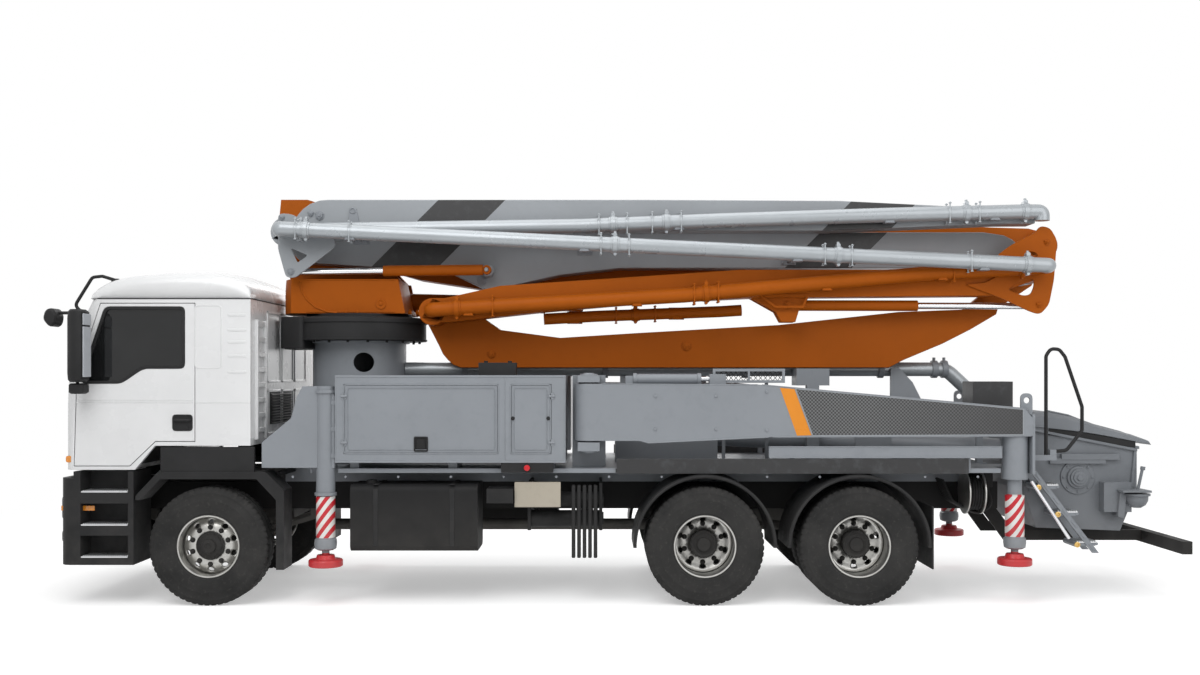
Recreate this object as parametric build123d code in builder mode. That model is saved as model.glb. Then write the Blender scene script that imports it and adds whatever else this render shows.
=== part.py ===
"""Truck-mounted concrete pump with a five-section folding boom, on three axles.

Millimetres. +X points to the front, +Y to the driver's left, +Z up, and the origin lies on the ground
under the middle of the whole machine. Lengthwise places are given as "back": how far behind the front axle.
"""

import os
from math import hypot

from build123d import *

os.makedirs("parts", exist_ok=True)

# ---------------------------------------------------------------- driving dimensions
FRONT_AXLE_X = 3690.0
WHEELBASE = 4500.0
TANDEM_SPACING = 1400.0
HALF_WIDTH = 1240.0
GAP = 6.0  # between pieces that move past each other
PIN_GAP = 0.5  # round pins and rods
SEAT_GAP = 0.3  # sliding tubes and resting seats

TYRE_R = 538.0
TYRE_WIDTH = 300.0
RIM_R = 286.0
RIM_WALL = 10.0
DUAL_GAP = 40.0
SPINDLE_R = 45.0
KINGPIN_Y = 850.0
KINGPIN_R = 20.0

RAIL_OUT = 430.0
RAIL_LOW, RAIL_TOP = 800.0, 1060.0
RAIL_FLANGE, RAIL_WALL = 80.0, 10.0
RAIL_FRONT, RAIL_BACK = -1205.0, 7400.0
DECK_LOW, DECK_TOP = 1200.0, 1240.0
DECK_FRONT, DECK_BACK = 1160.0, 7200.0

CAB_BACK = 385.0
CAB_WALL = 45.0
CAB_HALF = 1230.0
CAB_FLOOR = 1234.0
CAB_ARCH = 1452.0
ROOF_SEAM = 2784.0
ROOF_TOP = 3095.0
CAB_HINGE = (-1180.0, 900.0)  # back, z
DOOR_HINGE_BACK = -1221.0

TURRET_BACK = 1138.0
PEDESTAL_R = 460.0
RING_LOW, RING_TOP = 2426.0, 2657.0
RING_R = 660.0
TURRET_LOW = 2690.0
TURRET_TURN_R = 725.0  # keeps the turning base clear of the cab's back wall
TURRET_DECK = 3020.0

# Joint pins of the boom: back, z
PIVOT_1 = (675.0, 3600.0)
PIVOT_2 = (8016.0, 3400.0)
PIVOT_3 = (1937.0, 2699.0)
PIVOT_4 = (7767.0, 3121.0)
PIVOT_5 = (528.0, 3466.0)
BOOM_PIN_R = 55.0
TRUNNION_R = 20.0

# Lanes across the boom: the sections pass each other side by side
LANE_A = (-430.0, -150.0)  # section 1
LANE_LINK = (-140.0, -60.0)  # gooseneck of section 2
LANE_B = (-50.0, 240.0)  # sections 2 and 4
LANE_C = (300.0, 560.0)  # sections 3 and 5
LANE_LEVER = (566.0, 584.0)
PIPE_R = 70.0
PIPE_WALL = 6.0

ARM_PIVOT = (3445.0, 1070.0)  # back, y
ARM_HALF = 130.0
ARM_LOW, ARM_TOP = 1494.0, 2012.0  # at the pivot, where the arm's end is round
JACK_STROKE = 345.0
FRONT_LEG_BACK = 1049.0
FRONT_LEG_Y = 1150.0
REAR_LEG_BACK = 7353.0
LEG_R = 86.0
JACK_R = 66.0
BEAM_STROKE = 1100.0


# ---------------------------------------------------------------- helpers
def at(back, z):
    """A point of the side view: X and Z of a place given by its distance behind the front axle."""
    return (FRONT_AXLE_X - back, z)


def side_face(outline, y):
    """A closed side-view outline, its corners given as (back, z), on the plane at y."""
    with BuildSketch(Plane.XZ.offset(-y)) as face:
        with BuildLine():
            Polyline(*[at(back, z) for back, z in outline], close=True)
        make_face()
    return face.sketch


def side_disc(centre, radius, y):
    """A disc of the side view round (back, z), on the plane at y."""
    with BuildSketch(Plane.XZ.offset(-y)) as face:
        with Locations(at(*centre)):
            Circle(radius)
    return face.sketch


def slab(outline, lane, mode=Mode.ADD):
    """Extrudes a side-view outline across a lane (y_low, y_high)."""
    extrude(side_face(outline, lane[1]), amount=lane[1] - lane[0], mode=mode)


def drum(centre, radius, lane, mode=Mode.ADD):
    """A cylinder lying across the machine, round (back, z)."""
    extrude(side_disc(centre, radius, lane[1]), amount=lane[1] - lane[0], mode=mode)


def block(backs, ys, zs, mode=Mode.ADD):
    """A box between two values of back, y and z."""
    with BuildSketch(Plane.XY.offset(zs[0])) as face:
        with Locations((FRONT_AXLE_X - (backs[0] + backs[1]) / 2, (ys[0] + ys[1]) / 2)):
            Rectangle(backs[1] - backs[0], ys[1] - ys[0])
    extrude(face.sketch, amount=zs[1] - zs[0], mode=mode)


def post(back, y, radius, zs, mode=Mode.ADD):
    """A vertical cylinder."""
    with BuildSketch(Plane.XY.offset(zs[0])) as face:
        with Locations((FRONT_AXLE_X - back, y)):
            Circle(radius)
    extrude(face.sketch, amount=zs[1] - zs[0], mode=mode)


def rod(start, end, radius, y, mode=Mode.ADD, ends=(0.0, 0.0)):
    """A round bar in the side view from start to end, both (back, z), lengthened by ends."""
    (x0, z0), (x1, z1) = at(*start), at(*end)
    length = hypot(x1 - x0, z1 - z0)
    ux, uz = (x1 - x0) / length, (z1 - z0) / length
    origin = (x0 - ux * ends[0], y, z0 - uz * ends[0])
    with BuildSketch(Plane(origin=origin, z_dir=(ux, 0, uz))) as face:
        Circle(radius)
    extrude(face.sketch, amount=length + ends[0] + ends[1], mode=mode)


def tube(points, y, radius, wall, bend=150.0):
    """A pipe whose middle line runs through (back, z) places at y, with round bends."""
    path_points = [(FRONT_AXLE_X - back, y, z) for back, z in points]
    with BuildLine() as path:
        if len(path_points) > 2:
            FilletPolyline(*path_points, radius=bend)
        else:
            Line(*path_points)
    with BuildSketch(Plane(origin=path.line @ 0, z_dir=path.line % 0)) as ring:
        Circle(radius)
        Circle(radius - wall, mode=Mode.SUBTRACT)
    sweep(ring.sketch, path=path.line)


def keep(part, name):
    """Labels a finished piece and writes it."""
    part.part.label = name
    export_step(part.part, f"parts/{name}.step")


SIDES = (("left", 1), ("right", -1))


def span(side, low, high):
    """A pair of y values on one side of the machine, in rising order."""
    return (low, high) if side > 0 else (-high, -low)


# ---------------------------------------------------------------- chassis
AXLE_BACKS = (0.0, WHEELBASE, WHEELBASE + TANDEM_SPACING)
UNDERRUN_FRONT = 8814.0
CROSS_MEMBERS = (-1060.0, 700.0, 2300.0, 3600.0, 5200.0, 6600.0, 7320.0)

with BuildPart() as frame_rails:
    for _, side in SIDES:
        block((RAIL_FRONT, RAIL_BACK), span(side, RAIL_OUT - RAIL_FLANGE, RAIL_OUT), (RAIL_LOW, RAIL_TOP))
        inner = span(side, RAIL_OUT - RAIL_FLANGE, RAIL_OUT - RAIL_WALL)
        block(
            (RAIL_FRONT, RAIL_BACK),
            inner,
            (RAIL_LOW + RAIL_WALL, RAIL_TOP - RAIL_WALL),
            mode=Mode.SUBTRACT,
        )
    for back in CROSS_MEMBERS:
        reach = RAIL_OUT - RAIL_WALL
        block((back - 40, back + 40), (-reach, reach), (RAIL_LOW + RAIL_WALL, RAIL_TOP - RAIL_WALL - 60))
    for _, side in SIDES:
        # Hanger arms that carry the underrun beam under the hopper
        slab([(7250, RAIL_LOW), (RAIL_BACK, RAIL_LOW), (7560, 585), (UNDERRUN_FRONT, 585),
              (UNDERRUN_FRONT, 485), (7480, 485)],
             span(side, RAIL_OUT - RAIL_FLANGE, RAIL_OUT - RAIL_FLANGE + 30))
    for _, side in SIDES:
        drum(CAB_HINGE, TRUNNION_R, span(side, RAIL_OUT - RAIL_WALL, 478))
    # Underrun beam across the back
    block((UNDERRUN_FRONT, UNDERRUN_FRONT + 91), (-HALF_WIDTH, HALF_WIDTH), (470, 585))
keep(frame_rails, "frame_rails")

BEAM_PAD_Y = 390.0
with BuildPart() as front_axle:
    with BuildSketch(Plane.YZ.offset(FRONT_AXLE_X - 45)) as beam_face:
        with BuildLine():
            Polyline((-885, 600), (-885, 470), (-600, 395), (600, 395), (885, 470), (885, 600),
                     (805, 600), (770, 545), (560, 480), (-560, 480), (-770, 545), (-805, 600), close=True)
        make_face()
    extrude(beam_face.sketch, amount=90)
    for _, side in SIDES:
        post(0, side * KINGPIN_Y, 52, (462, 614))
        post(0, side * KINGPIN_Y, KINGPIN_R + PIN_GAP, (400, 700), mode=Mode.SUBTRACT)
        # Leaf spring with its seat and the hanger under each rail
        pad = span(side, BEAM_PAD_Y - 45, BEAM_PAD_Y + 35)
        block((-60, 60), pad, (480, 560))
        slab([(-820, 800), (-820, 700), (-500, 610), (0, 560), (500, 610), (800, 700), (800, 800), (740, 800),
              (740, 730), (480, 655), (0, 620), (-480, 655), (-750, 730), (-750, 800)], pad)
keep(front_axle, "front_axle")

for name, side in SIDES:
    with BuildPart() as knuckle:
        block((-45, 45), span(side, KINGPIN_Y - 45, KINGPIN_Y + 62), (388, 440))
        block((-45, 45), span(side, KINGPIN_Y - 45, KINGPIN_Y + 62), (620, 690))
        block((-45, 45), span(side, KINGPIN_Y + 58, KINGPIN_Y + 95), (388, 690))
        post(0, side * KINGPIN_Y, KINGPIN_R, (388, 690))
        drum((0, TYRE_R), SPINDLE_R, span(side, KINGPIN_Y + 60, 1120))
        drum((0, TYRE_R), 190, span(side, KINGPIN_Y + 95, KINGPIN_Y + 130))
        # Steering arm reaching back to the track rod
        slab([(0, 430), (0, 390), (260, 390), (260, 430)],
             span(side, KINGPIN_Y - 45, KINGPIN_Y - 20))
    keep(knuckle, f"knuckle_{name}")


def turned(outline, back, mode=Mode.ADD):
    """Turns a (y, radius) outline about a wheel axis."""
    with BuildSketch(Plane.YZ.offset(FRONT_AXLE_X - back)) as face:
        with BuildLine():
            Polyline(*[(y, TYRE_R + radius) for y, radius in outline], close=True)
        make_face()
    centre = (FRONT_AXLE_X - back, 0, TYRE_R)
    revolve(face.sketch, axis=Axis(centre, (0, 1, 0)), mode=mode)


def tyre_outline(low, high):
    return [(low + 22, RIM_R), (low, RIM_R + 70), (low, TYRE_R - 60), (low + 12, TYRE_R - 12), (low + 34, TYRE_R),
            (high - 34, TYRE_R), (high - 12, TYRE_R - 12), (high, TYRE_R - 60), (high, RIM_R + 70),
            (high - 22, RIM_R)]


def bolt_circle(side, y_low, y_high, count, circle_r, radius, back, mode):
    """Round holes or nuts in a ring round the hub."""
    with BuildSketch(Plane.XZ.offset(-y_high)) as face:
        with Locations(at(back, TYRE_R)):
            with PolarLocations(circle_r, count):
                Circle(radius)
    extrude(face.sketch, amount=y_high - y_low, mode=mode)


HUB_BORE = SPINDLE_R + PIN_GAP
NUT_CIRCLE = 168.0
HAND_HOLES = 10

for name, side in SIDES:
    # Front wheels: one tyre on a disc wheel with its flange outward
    low, high = HALF_WIDTH - TYRE_WIDTH, HALF_WIDTH
    disc = 1120.0
    with BuildPart() as wheel:
        turned([(side * y, r) for y, r in tyre_outline(low, high)], 0)
        rim = [(low + 22, RIM_R), (low + 22, RIM_R - RIM_WALL), (disc - 60, RIM_R - 14), (disc, 215), (disc + 18, 120),
               (disc + 18, HUB_BORE), (disc + 34, HUB_BORE), (disc + 34, 120), (disc + 16, 225),
               (disc - 20, RIM_R - 12), (high - 22, RIM_R - RIM_WALL), (high - 22, RIM_R)]
        turned([(side * y, r) for y, r in rim], 0)
        ys = span(side, disc - 70, disc + 60)
        bolt_circle(side, ys[0], ys[1], HAND_HOLES, 218, 22, 0, Mode.SUBTRACT)
        nuts = span(side, disc + 20, disc + 62)
        bolt_circle(side, nuts[0], nuts[1], 10, NUT_CIRCLE - 30, 14, 0, Mode.ADD)
        hub = [(disc - 90, HUB_BORE), (disc - 90, 105), (disc + 90, 105), (disc + 105, 90), (disc + 105, 0),
               (disc + 10, 0), (disc + 10, HUB_BORE)]
        turned([(side * y, r) for y, r in hub], 0)
    keep(wheel, f"front_wheel_{name}")

DUAL_OUT = (HALF_WIDTH - TYRE_WIDTH, HALF_WIDTH)
DUAL_IN = (HALF_WIDTH - 2 * TYRE_WIDTH - DUAL_GAP, HALF_WIDTH - TYRE_WIDTH - DUAL_GAP)
DISC_Y = (DUAL_IN[1] + DUAL_OUT[0]) / 2
AXLE_END_R = 62.0

for axle, back in (("mid", AXLE_BACKS[1]), ("rear", AXLE_BACKS[2])):
    for name, side in SIDES:
        with BuildPart() as wheel:
            for low, high in (DUAL_OUT, DUAL_IN):
                turned([(side * y, r) for y, r in tyre_outline(low, high)], back)
                barrel = [(low + 22, RIM_R), (low + 22, RIM_R - RIM_WALL), (high - 22, RIM_R - RIM_WALL),
                          (high - 22, RIM_R)]
                turned([(side * y, r) for y, r in barrel], back)
            for sign in (1, -1):
                dish = [(DISC_Y + sign * 58, RIM_R), (DISC_Y + sign * 58, RIM_R - 12), (DISC_Y + sign * 14, 225),
                        (DISC_Y + sign * 14, AXLE_END_R + PIN_GAP), (DISC_Y, AXLE_END_R + PIN_GAP),
                        (DISC_Y, 235), (DISC_Y + sign * 40, RIM_R)]
                turned([(side * y, r) for y, r in dish], back)
            holes = span(side, DISC_Y - 30, DISC_Y + 70)
            bolt_circle(side, holes[0], holes[1], 10, 222, 18, back, Mode.SUBTRACT)
            nuts = span(side, DISC_Y + 12, DISC_Y + 55)
            bolt_circle(side, nuts[0], nuts[1], 10, NUT_CIRCLE, 15, back, Mode.ADD)
            hub = [(DISC_Y + 12, AXLE_END_R + PIN_GAP), (DISC_Y + 12, 125), (DISC_Y + 150, 110), (DISC_Y + 165, 90),
                   (DISC_Y + 165, 0), (DISC_Y + 110, 0), (DISC_Y + 110, AXLE_END_R + PIN_GAP)]
            turned([(side * y, r) for y, r in hub], back)
        keep(wheel, f"{axle}_wheels_{name}")

with BuildPart() as rear_axles:
    for back in AXLE_BACKS[1:]:
        drum((back, TYRE_R), AXLE_END_R, (-DISC_Y - 100, DISC_Y + 100))
        drum((back, TYRE_R), 105, (-540, 540))
        with BuildSketch(Plane.XZ.offset(-160)) as bowl:
            with Locations(at(back, TYRE_R)):
                Circle(215)
        extrude(bowl.sketch, amount=320)
    # Propeller shaft from the gearbox and between the two axles
    with BuildSketch(Plane.YZ.offset(FRONT_AXLE_X - AXLE_BACKS[2])) as shaft:
        with Locations((0, TYRE_R + 60)):
            Circle(55)
    extrude(shaft.sketch, amount=AXLE_BACKS[2] - 700)
    # Trunnion springs under the rails
    for _, side in SIDES:
        mid = (AXLE_BACKS[1] + AXLE_BACKS[2]) / 2
        slab([(mid - 820, 745), (mid - 820, 640), (mid - 560, 640), (mid, 690), (mid + 560, 640), (mid + 820, 640),
              (mid + 820, 745), (mid + 60, RAIL_LOW), (mid - 60, RAIL_LOW)], span(side, 350, 430))
keep(rear_axles, "rear_axles")

with BuildPart() as engine_block:
    block((-650, 560), (-330, 330), (700, 1180))
keep(engine_block, "engine_block")

with BuildPart() as side_tanks:
    block((1285, 2438), (700, 1225), (494, 1097))
    fillet(side_tanks.edges().filter_by(Axis.X), 60)
    block((1500, 1560), (RAIL_OUT, 700), (820, 900))
    block((2160, 2220), (RAIL_OUT, 700), (820, 900))
    block((1285, 3100), (-1225, -700), (560, 1097))
    block((1500, 1560), (-700, -RAIL_OUT), (820, 900))
    block((2760, 2820), (-700, -RAIL_OUT), (820, 900))
keep(side_tanks, "side_tanks")

# ---------------------------------------------------------------- bumper, steps, mudguards
with BuildPart() as bumper_steps:
    block((-1345, -1210), (-HALF_WIDTH, HALF_WIDTH), (374, 1160))
    fillet(bumper_steps.edges().filter_by(Axis.Z).sort_by(Axis.X)[-2:], 110)
    block((-1285, -1209), (-1180, 1180), (420, 1161), mode=Mode.SUBTRACT)
    for _, side in SIDES:
        block((-1212, -670), span(side, 800, HALF_WIDTH), (374, 1220))
        for low in (440, 730, 1030):
            block((-1150, -720), span(side, 1010, HALF_WIDTH + 1), (low, low + 200), mode=Mode.SUBTRACT)
        block((-1209, -720), span(side, 799, 1000), (420, 1221), mode=Mode.SUBTRACT)
    for _, side in SIDES:
        block((-1290, -1105), span(side, 355, RAIL_OUT - RAIL_WALL), (830, 940))
keep(bumper_steps, "bumper_steps")

ARCH_OUTER = [(-652, 960), (-652, 1000), (-470, 1195), (-440, 1215), (520, 1215), (690, 1050), (690, 330),
              (618, 330), (618, 960), (440, 1150), (-430, 1150), (-612, 960)]
with BuildPart() as mudguards:
    for _, side in SIDES:
        slab(ARCH_OUTER, span(side, 945, HALF_WIDTH))
        # Behind the tyre the guard is only a thin sheet, so that the steered wheel clears it
        block((610, 672), span(side, 940, 1118), (329, 900), mode=Mode.SUBTRACT)
        slab([(-430, 1160), (-430, 1440), (415, 1440), (415, 1160)], span(side, 1180, HALF_WIDTH - 12))
        block((560, 600), span(side, RAIL_OUT, 1000), (1160, 1200))
        for back in AXLE_BACKS[1:]:
            with BuildSketch(Plane.XZ.offset(-(HALF_WIDTH if side > 0 else -(DUAL_IN[0] - 10)))) as arch:
                with Locations(at(back, TYRE_R)):
                    Circle(650)
                    Circle(620, mode=Mode.SUBTRACT)
                    with Locations((0, -440)):
                        Rectangle(1400, 860, mode=Mode.SUBTRACT)
            extrude(arch.sketch, amount=HALF_WIDTH - DUAL_IN[0] + 10)
            block((back - 30, back + 30), span(side, RAIL_OUT, DUAL_IN[0] + 20), (1130, 1170))
keep(mudguards, "mudguards")

# ---------------------------------------------------------------- deck and superstructure
with BuildPart() as deck:
    block((500, 7300), (-RAIL_OUT, RAIL_OUT), (DECK_LOW, DECK_TOP))
    block((DECK_FRONT, DECK_BACK), (-1150, 1150), (DECK_LOW, DECK_TOP))
    for _, side in SIDES:
        block((500, 7300), span(side, 330, RAIL_OUT), (RAIL_TOP, DECK_LOW))
        block((3700, 6900), span(side, 1150, 1180), (1195, 1330))
        block((5085, 7205), span(side, 1110, 1180), (1340, 1440))
        for back in (5300, 6900):
            block((back - 25, back + 25), span(side, 1120, 1150), (DECK_TOP, 1345))
keep(deck, "deck")

with BuildPart() as pedestal:
    post(TURRET_BACK, 0, PEDESTAL_R, (DECK_TOP, RING_LOW))
    post(TURRET_BACK, 0, PEDESTAL_R - 25, (DECK_TOP + 30, RING_LOW), mode=Mode.SUBTRACT)
    with BuildSketch(Plane.XZ.offset(-PEDESTAL_R - 5)) as port:
        with Locations(at(1259, 2215)):
            Circle(95)
    extrude(port.sketch, amount=200, mode=Mode.SUBTRACT)
keep(pedestal, "pedestal")

with BuildPart() as slew_ring:
    post(TURRET_BACK, 0, RING_R, (RING_LOW, RING_TOP))
    fillet(slew_ring.edges().group_by(Axis.Z)[-1], 30)
    block((432, 640), (-200, 200), (2346, RING_TOP - 20))
    post(TURRET_BACK, 0, 520, (RING_TOP, TURRET_LOW - SEAT_GAP))
keep(slew_ring, "slew_ring")

with BuildPart() as side_boxes:
    for _, side in SIDES:
        block((1150, 3237), span(side, 640, HALF_WIDTH), (1300, 2088))
        for back in (1300, 2200, 3090):
            block((back - 40, back + 40), span(side, 660, 1100), (DECK_TOP, 1300))
        # Door outlines as shallow grooves
        for b0, b1 in ((1230, 2630), (2740, 3110)):
            block((b0, b1), span(side, HALF_WIDTH - 8, HALF_WIDTH), (1378, 2010), mode=Mode.SUBTRACT)
            block((b0 + 12, b1 - 12), span(side, HALF_WIDTH - 8, HALF_WIDTH - 1), (1390, 1998))
keep(side_boxes, "side_boxes")

# ---------------------------------------------------------------- outriggers
FRONT_BEAM = (490.0, 650.0)
FRONT_BEAM_Z = (1270.0, 1470.0)
with BuildPart() as leg_housings:
    wall = 15
    bore_back = (FRONT_BEAM[0] - SEAT_GAP, FRONT_BEAM[1] + SEAT_GAP)
    bore_z = (FRONT_BEAM_Z[0] - SEAT_GAP, FRONT_BEAM_Z[1] + SEAT_GAP)
    block((bore_back[0] - wall, bore_back[1] + wall), (-1085, 1085), (bore_z[0] - wall, bore_z[1] + wall))
    block((510, 630), (-RAIL_OUT, RAIL_OUT), (DECK_TOP, bore_z[0] - wall))
    block(bore_back, (-1086, 1086), bore_z, mode=Mode.SUBTRACT)
    for _, side in SIDES:
        # Upper and lower ears of each rear arm's hinge, on a post beside the deck
        block((3290, 3600), span(side, 560, 900), (DECK_TOP, 2040))
        block((3345, 3545), span(side, 900, 1190), (1400, 1480))
        block((3345, 3545), span(side, 900, 1190), (2026, 2090))
        block((3290, 3600), span(side, 860, 900), (1400, 2090))
        post(ARM_PIVOT[0], side * ARM_PIVOT[1], 50, (1400, 2090))
keep(leg_housings, "leg_housings")

PAD = (350.0, 470.0)
for name, side in SIDES:
    with BuildPart() as front_beam:
        block(FRONT_BEAM, span(side, 20, 1200), FRONT_BEAM_Z)
        slab([(480, 1250), (480, 1480), (745, 1700), (800, 1900), (850, 1990), (1095, 1990), (1140, 1900), (1140, 1250)],
             span(side, FRONT_LEG_Y - 55, FRONT_LEG_Y + 55))
        post(FRONT_LEG_BACK, side * FRONT_LEG_Y, LEG_R, (1000, 1990))
        post(FRONT_LEG_BACK, side * FRONT_LEG_Y, JACK_R + SEAT_GAP, (999, 1900), mode=Mode.SUBTRACT)
    keep(front_beam, f"front_leg_beam_{name}")
    with BuildPart() as rear_arm:
        slab([(ARM_PIVOT[0], ARM_LOW), (3910, ARM_LOW), (3970, 1476), (4500, 1500), (5100, 1530), (7475, 1540),
              (7475, 1700), (7400, 1790), (5000, 2005), (ARM_PIVOT[0], ARM_TOP)],
             span(side, ARM_PIVOT[1] - ARM_HALF, ARM_PIVOT[1] + ARM_HALF))
        post(ARM_PIVOT[0], side * ARM_PIVOT[1], ARM_HALF, (ARM_LOW, ARM_TOP))
        post(ARM_PIVOT[0], side * ARM_PIVOT[1], 50 + PIN_GAP, (1400, 2090), mode=Mode.SUBTRACT)
        post(REAR_LEG_BACK, side * ARM_PIVOT[1], LEG_R + 30, (1138, 1785))
        post(REAR_LEG_BACK, side * ARM_PIVOT[1], JACK_R + SEAT_GAP, (1137, 1770), mode=Mode.SUBTRACT)
    keep(rear_arm, f"rear_leg_arm_{name}")
    for where, back, y, top in (("front", FRONT_LEG_BACK, FRONT_LEG_Y, 1880), ("rear", REAR_LEG_BACK, ARM_PIVOT[1], 1750)):
        with BuildPart() as jack:
            post(back, side * y, JACK_R, (500, top))
            post(back, side * y, LEG_R, (620, 990))
            post(back, side * y, 60, (PAD[1], 620))
            post(back, side * y, 155, PAD)
        keep(jack, f"{where}_jack_{name}")

# ---------------------------------------------------------------- hopper, pump and rear fittings
HOPPER_FRONT, HOPPER_BACK = 7580.0, 8660.0
HOPPER_RIM = (1600.0, 1390.0)  # its height at the front and at the back
with BuildPart() as hopper:
    slab([(HOPPER_FRONT, HOPPER_RIM[0]), (HOPPER_FRONT, 1000), (7700, 640), (8500, 610), (HOPPER_BACK, 1000),
          (HOPPER_BACK, HOPPER_RIM[1])], (-640, 640))
    slab([(HOPPER_FRONT + 25, 1700), (HOPPER_FRONT + 25, 1010), (7720, 665), (8480, 635), (HOPPER_BACK - 25, 1010),
          (HOPPER_BACK - 25, 1500)], (-615, 615), mode=Mode.SUBTRACT)
    drum((8093, 1120), 82, (-700, 700))
    slab([(7820, 1300), (8350, 1300), (8350, 1250), (7820, 1250)], (640, 680))
    block((8300, 8560), (640, 760), (800, 1080))
keep(hopper, "hopper")

def rim(back, above=0.0):
    """A point on the sloping rim of the hopper, or that far above it."""
    slope = (HOPPER_RIM[1] - HOPPER_RIM[0]) / (HOPPER_BACK - HOPPER_FRONT)
    return (back, HOPPER_RIM[0] + slope * (back - HOPPER_FRONT) + above)


with BuildPart() as hopper_grid:
    slab([rim(7590, SEAT_GAP), rim(7590, 28), rim(8680, 28), rim(8680, SEAT_GAP)], (-650, 650))
    for index in range(9):
        y = -560 + index * 140
        slab([rim(7640, -60), rim(7640, 90), rim(8620, 90), rim(8620, -60)], (y - 50, y + 50), mode=Mode.SUBTRACT)
keep(hopper_grid, "hopper_grid")

with BuildPart() as pump_unit:
    # Twin pumping cylinders that slope down to the hopper, their water box between
    for y in (-185, 185):
        rod((4700, 1500), (7572, 1355), 105, y)
    block((6050, 6400), (-300, 300), (DECK_TOP, 1600))
    block((3700, 4700), (-300, 300), (DECK_TOP, 1750))
    block((7500, HOPPER_FRONT), (-300, 300), (DECK_TOP, 1490))
keep(pump_unit, "pump_unit")

with BuildPart() as delivery_pipe:
    tube([(1600, 2060), (7100, 2060), (7350, 1800), (7350, 1260)], 0, PIPE_R, PIPE_WALL, bend=180)
    block((6480, 6560), (-45, 45), (DECK_TOP, 1995))
    block((3750, 3830), (-45, 45), (1750, 1995))
keep(delivery_pipe, "delivery_pipe")

with BuildPart() as boom_rest:
    block((5460, 5780), (80, 390), (1990, 2155))
    block((5560, 5680), (300, 390), (DECK_TOP, 1990))
    # Mesh guard over the left arm: a frame on two arms that come up from the deck
    for b0, b1, z0, z1 in ((4580, 5240, 2020, 2045), (4580, 5240, 2125, 2150), (4580, 4605, 2045, 2125),
                           (5215, 5240, 2045, 2125), (4900, 4920, 2045, 2125)):
        block((b0, b1), (1085, 1110), (z0, z1))
    for back in (4700, 5100):
        block((back - 15, back + 15), (880, 1085), (2020, 2045))
        block((back - 15, back + 15), (870, 900), (DECK_TOP, 2045))
keep(boom_rest, "boom_rest")

with BuildPart() as rear_fittings:
    block((7100, 7480), (300, 640), (1785, 2030))
    block((7200, 7260), (370, 430), (DECK_TOP, 1785))
    block((DECK_BACK, 7570), (560, 930), (DECK_LOW, DECK_TOP))
    for back, z in ((7700, 1050), (7880, 800), (8060, 520)):
        block((back - 90, back + 90), (690, 930), (z - 15, z + 15))
    for y in (690, 930):
        slab([(7540, DECK_LOW), (7600, DECK_LOW), (8180, 440), (8120, 440)], (y - 10, y + 10))
keep(rear_fittings, "rear_fittings")

# ---------------------------------------------------------------- cab
CAB_OUTER = [(-1295, CAB_FLOOR), (-690, CAB_FLOOR), (-480, CAB_ARCH), (CAB_BACK, CAB_ARCH), (CAB_BACK, ROOF_SEAM),
             (-1060, ROOF_SEAM), (-1285, 2100)]
CAB_INNER = [(-1245, CAB_FLOOR + 50), (-710, CAB_FLOOR + 50), (-500, CAB_ARCH + 50), (CAB_BACK - CAB_WALL, CAB_ARCH + 50),
             (CAB_BACK - CAB_WALL, ROOF_SEAM + 1), (-1013, ROOF_SEAM + 1), (-1245, 2105)]
DOOR_OPENING = [(-1215, 1265), (-705, 1265), (-475, 1487), (-115, 1487), (-115, 2745), (-975, 2745), (-1190, 2105)]
DOOR = [(-1209, 1271), (-708, 1271), (-478, 1493), (-121, 1493), (-121, 2739), (-971, 2739), (-1184, 2104)]
WINDOW = [(-1150, 2080), (-860, 2080), (-800, 2204), (-200, 2204), (-200, 2700), (-945, 2700), (-1140, 2115)]
INNER_HALF = CAB_HALF - CAB_WALL

with BuildPart() as cab_shell:
    slab(CAB_OUTER, (-CAB_HALF, CAB_HALF))
    slab(CAB_INNER, (-INNER_HALF, INNER_HALF), mode=Mode.SUBTRACT)
    slab(DOOR_OPENING, (-CAB_HALF - 1, CAB_HALF + 1), mode=Mode.SUBTRACT)
    # Windscreen opening through the leaning front wall
    slab([(-1400, 2160), (-1200, 2160), (-1000, 2740), (-1400, 2740)], (-1100, 1100), mode=Mode.SUBTRACT)
    for _, side in SIDES:
        # Tilting ears beside the rails, bent back so that they swing clear of the bumper
        ear = [(-35, -30), (40, -30), (330, 230), (330, 339), (200, 339), (200, 240), (-35, 40)]
        slab([(CAB_HINGE[0] + back, CAB_HINGE[1] + z) for back, z in ear], span(side, 436, 466))
        drum(CAB_HINGE, TRUNNION_R + PIN_GAP, span(side, 430, 480), mode=Mode.SUBTRACT)
keep(cab_shell, "cab_shell")

with BuildPart() as cab_roof:
    roof = [(-1060, ROOF_SEAM), (-930, 2960), (-700, 3050), (-400, ROOF_TOP), (0, 3070), (CAB_BACK, 2900),
            (CAB_BACK, ROOF_SEAM)]
    slab(roof, (-CAB_HALF, CAB_HALF))
    fillet(cab_roof.edges().filter_by(Axis.X, tolerance=30).group_by(Axis.Z)[-1], 60)
    slab([(-1000, ROOF_SEAM - 1), (-890, 2910), (-680, 3005), (-400, ROOF_TOP - 45), (0, 3025), (CAB_BACK - 45, 2870),
          (CAB_BACK - 45, ROOF_SEAM - 1)], (-INNER_HALF, INNER_HALF), mode=Mode.SUBTRACT)
    # Front mirror on its arm
    slab([(-930, 2900), (-930, 2960), (-1100, 3000), (-1480, 2700), (-1460, 2680), (-1100, 2975)], (1100, 1130))
    block((-1517, -1400), (1020, 1210), (2540, 2700))
keep(cab_roof, "cab_roof")

with BuildPart() as windscreen:
    slab([(-1252, 2160), (-1246, 2160), (-1060, 2740), (-1066, 2740)], (-1100, 1100))
keep(windscreen, "windscreen")

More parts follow.
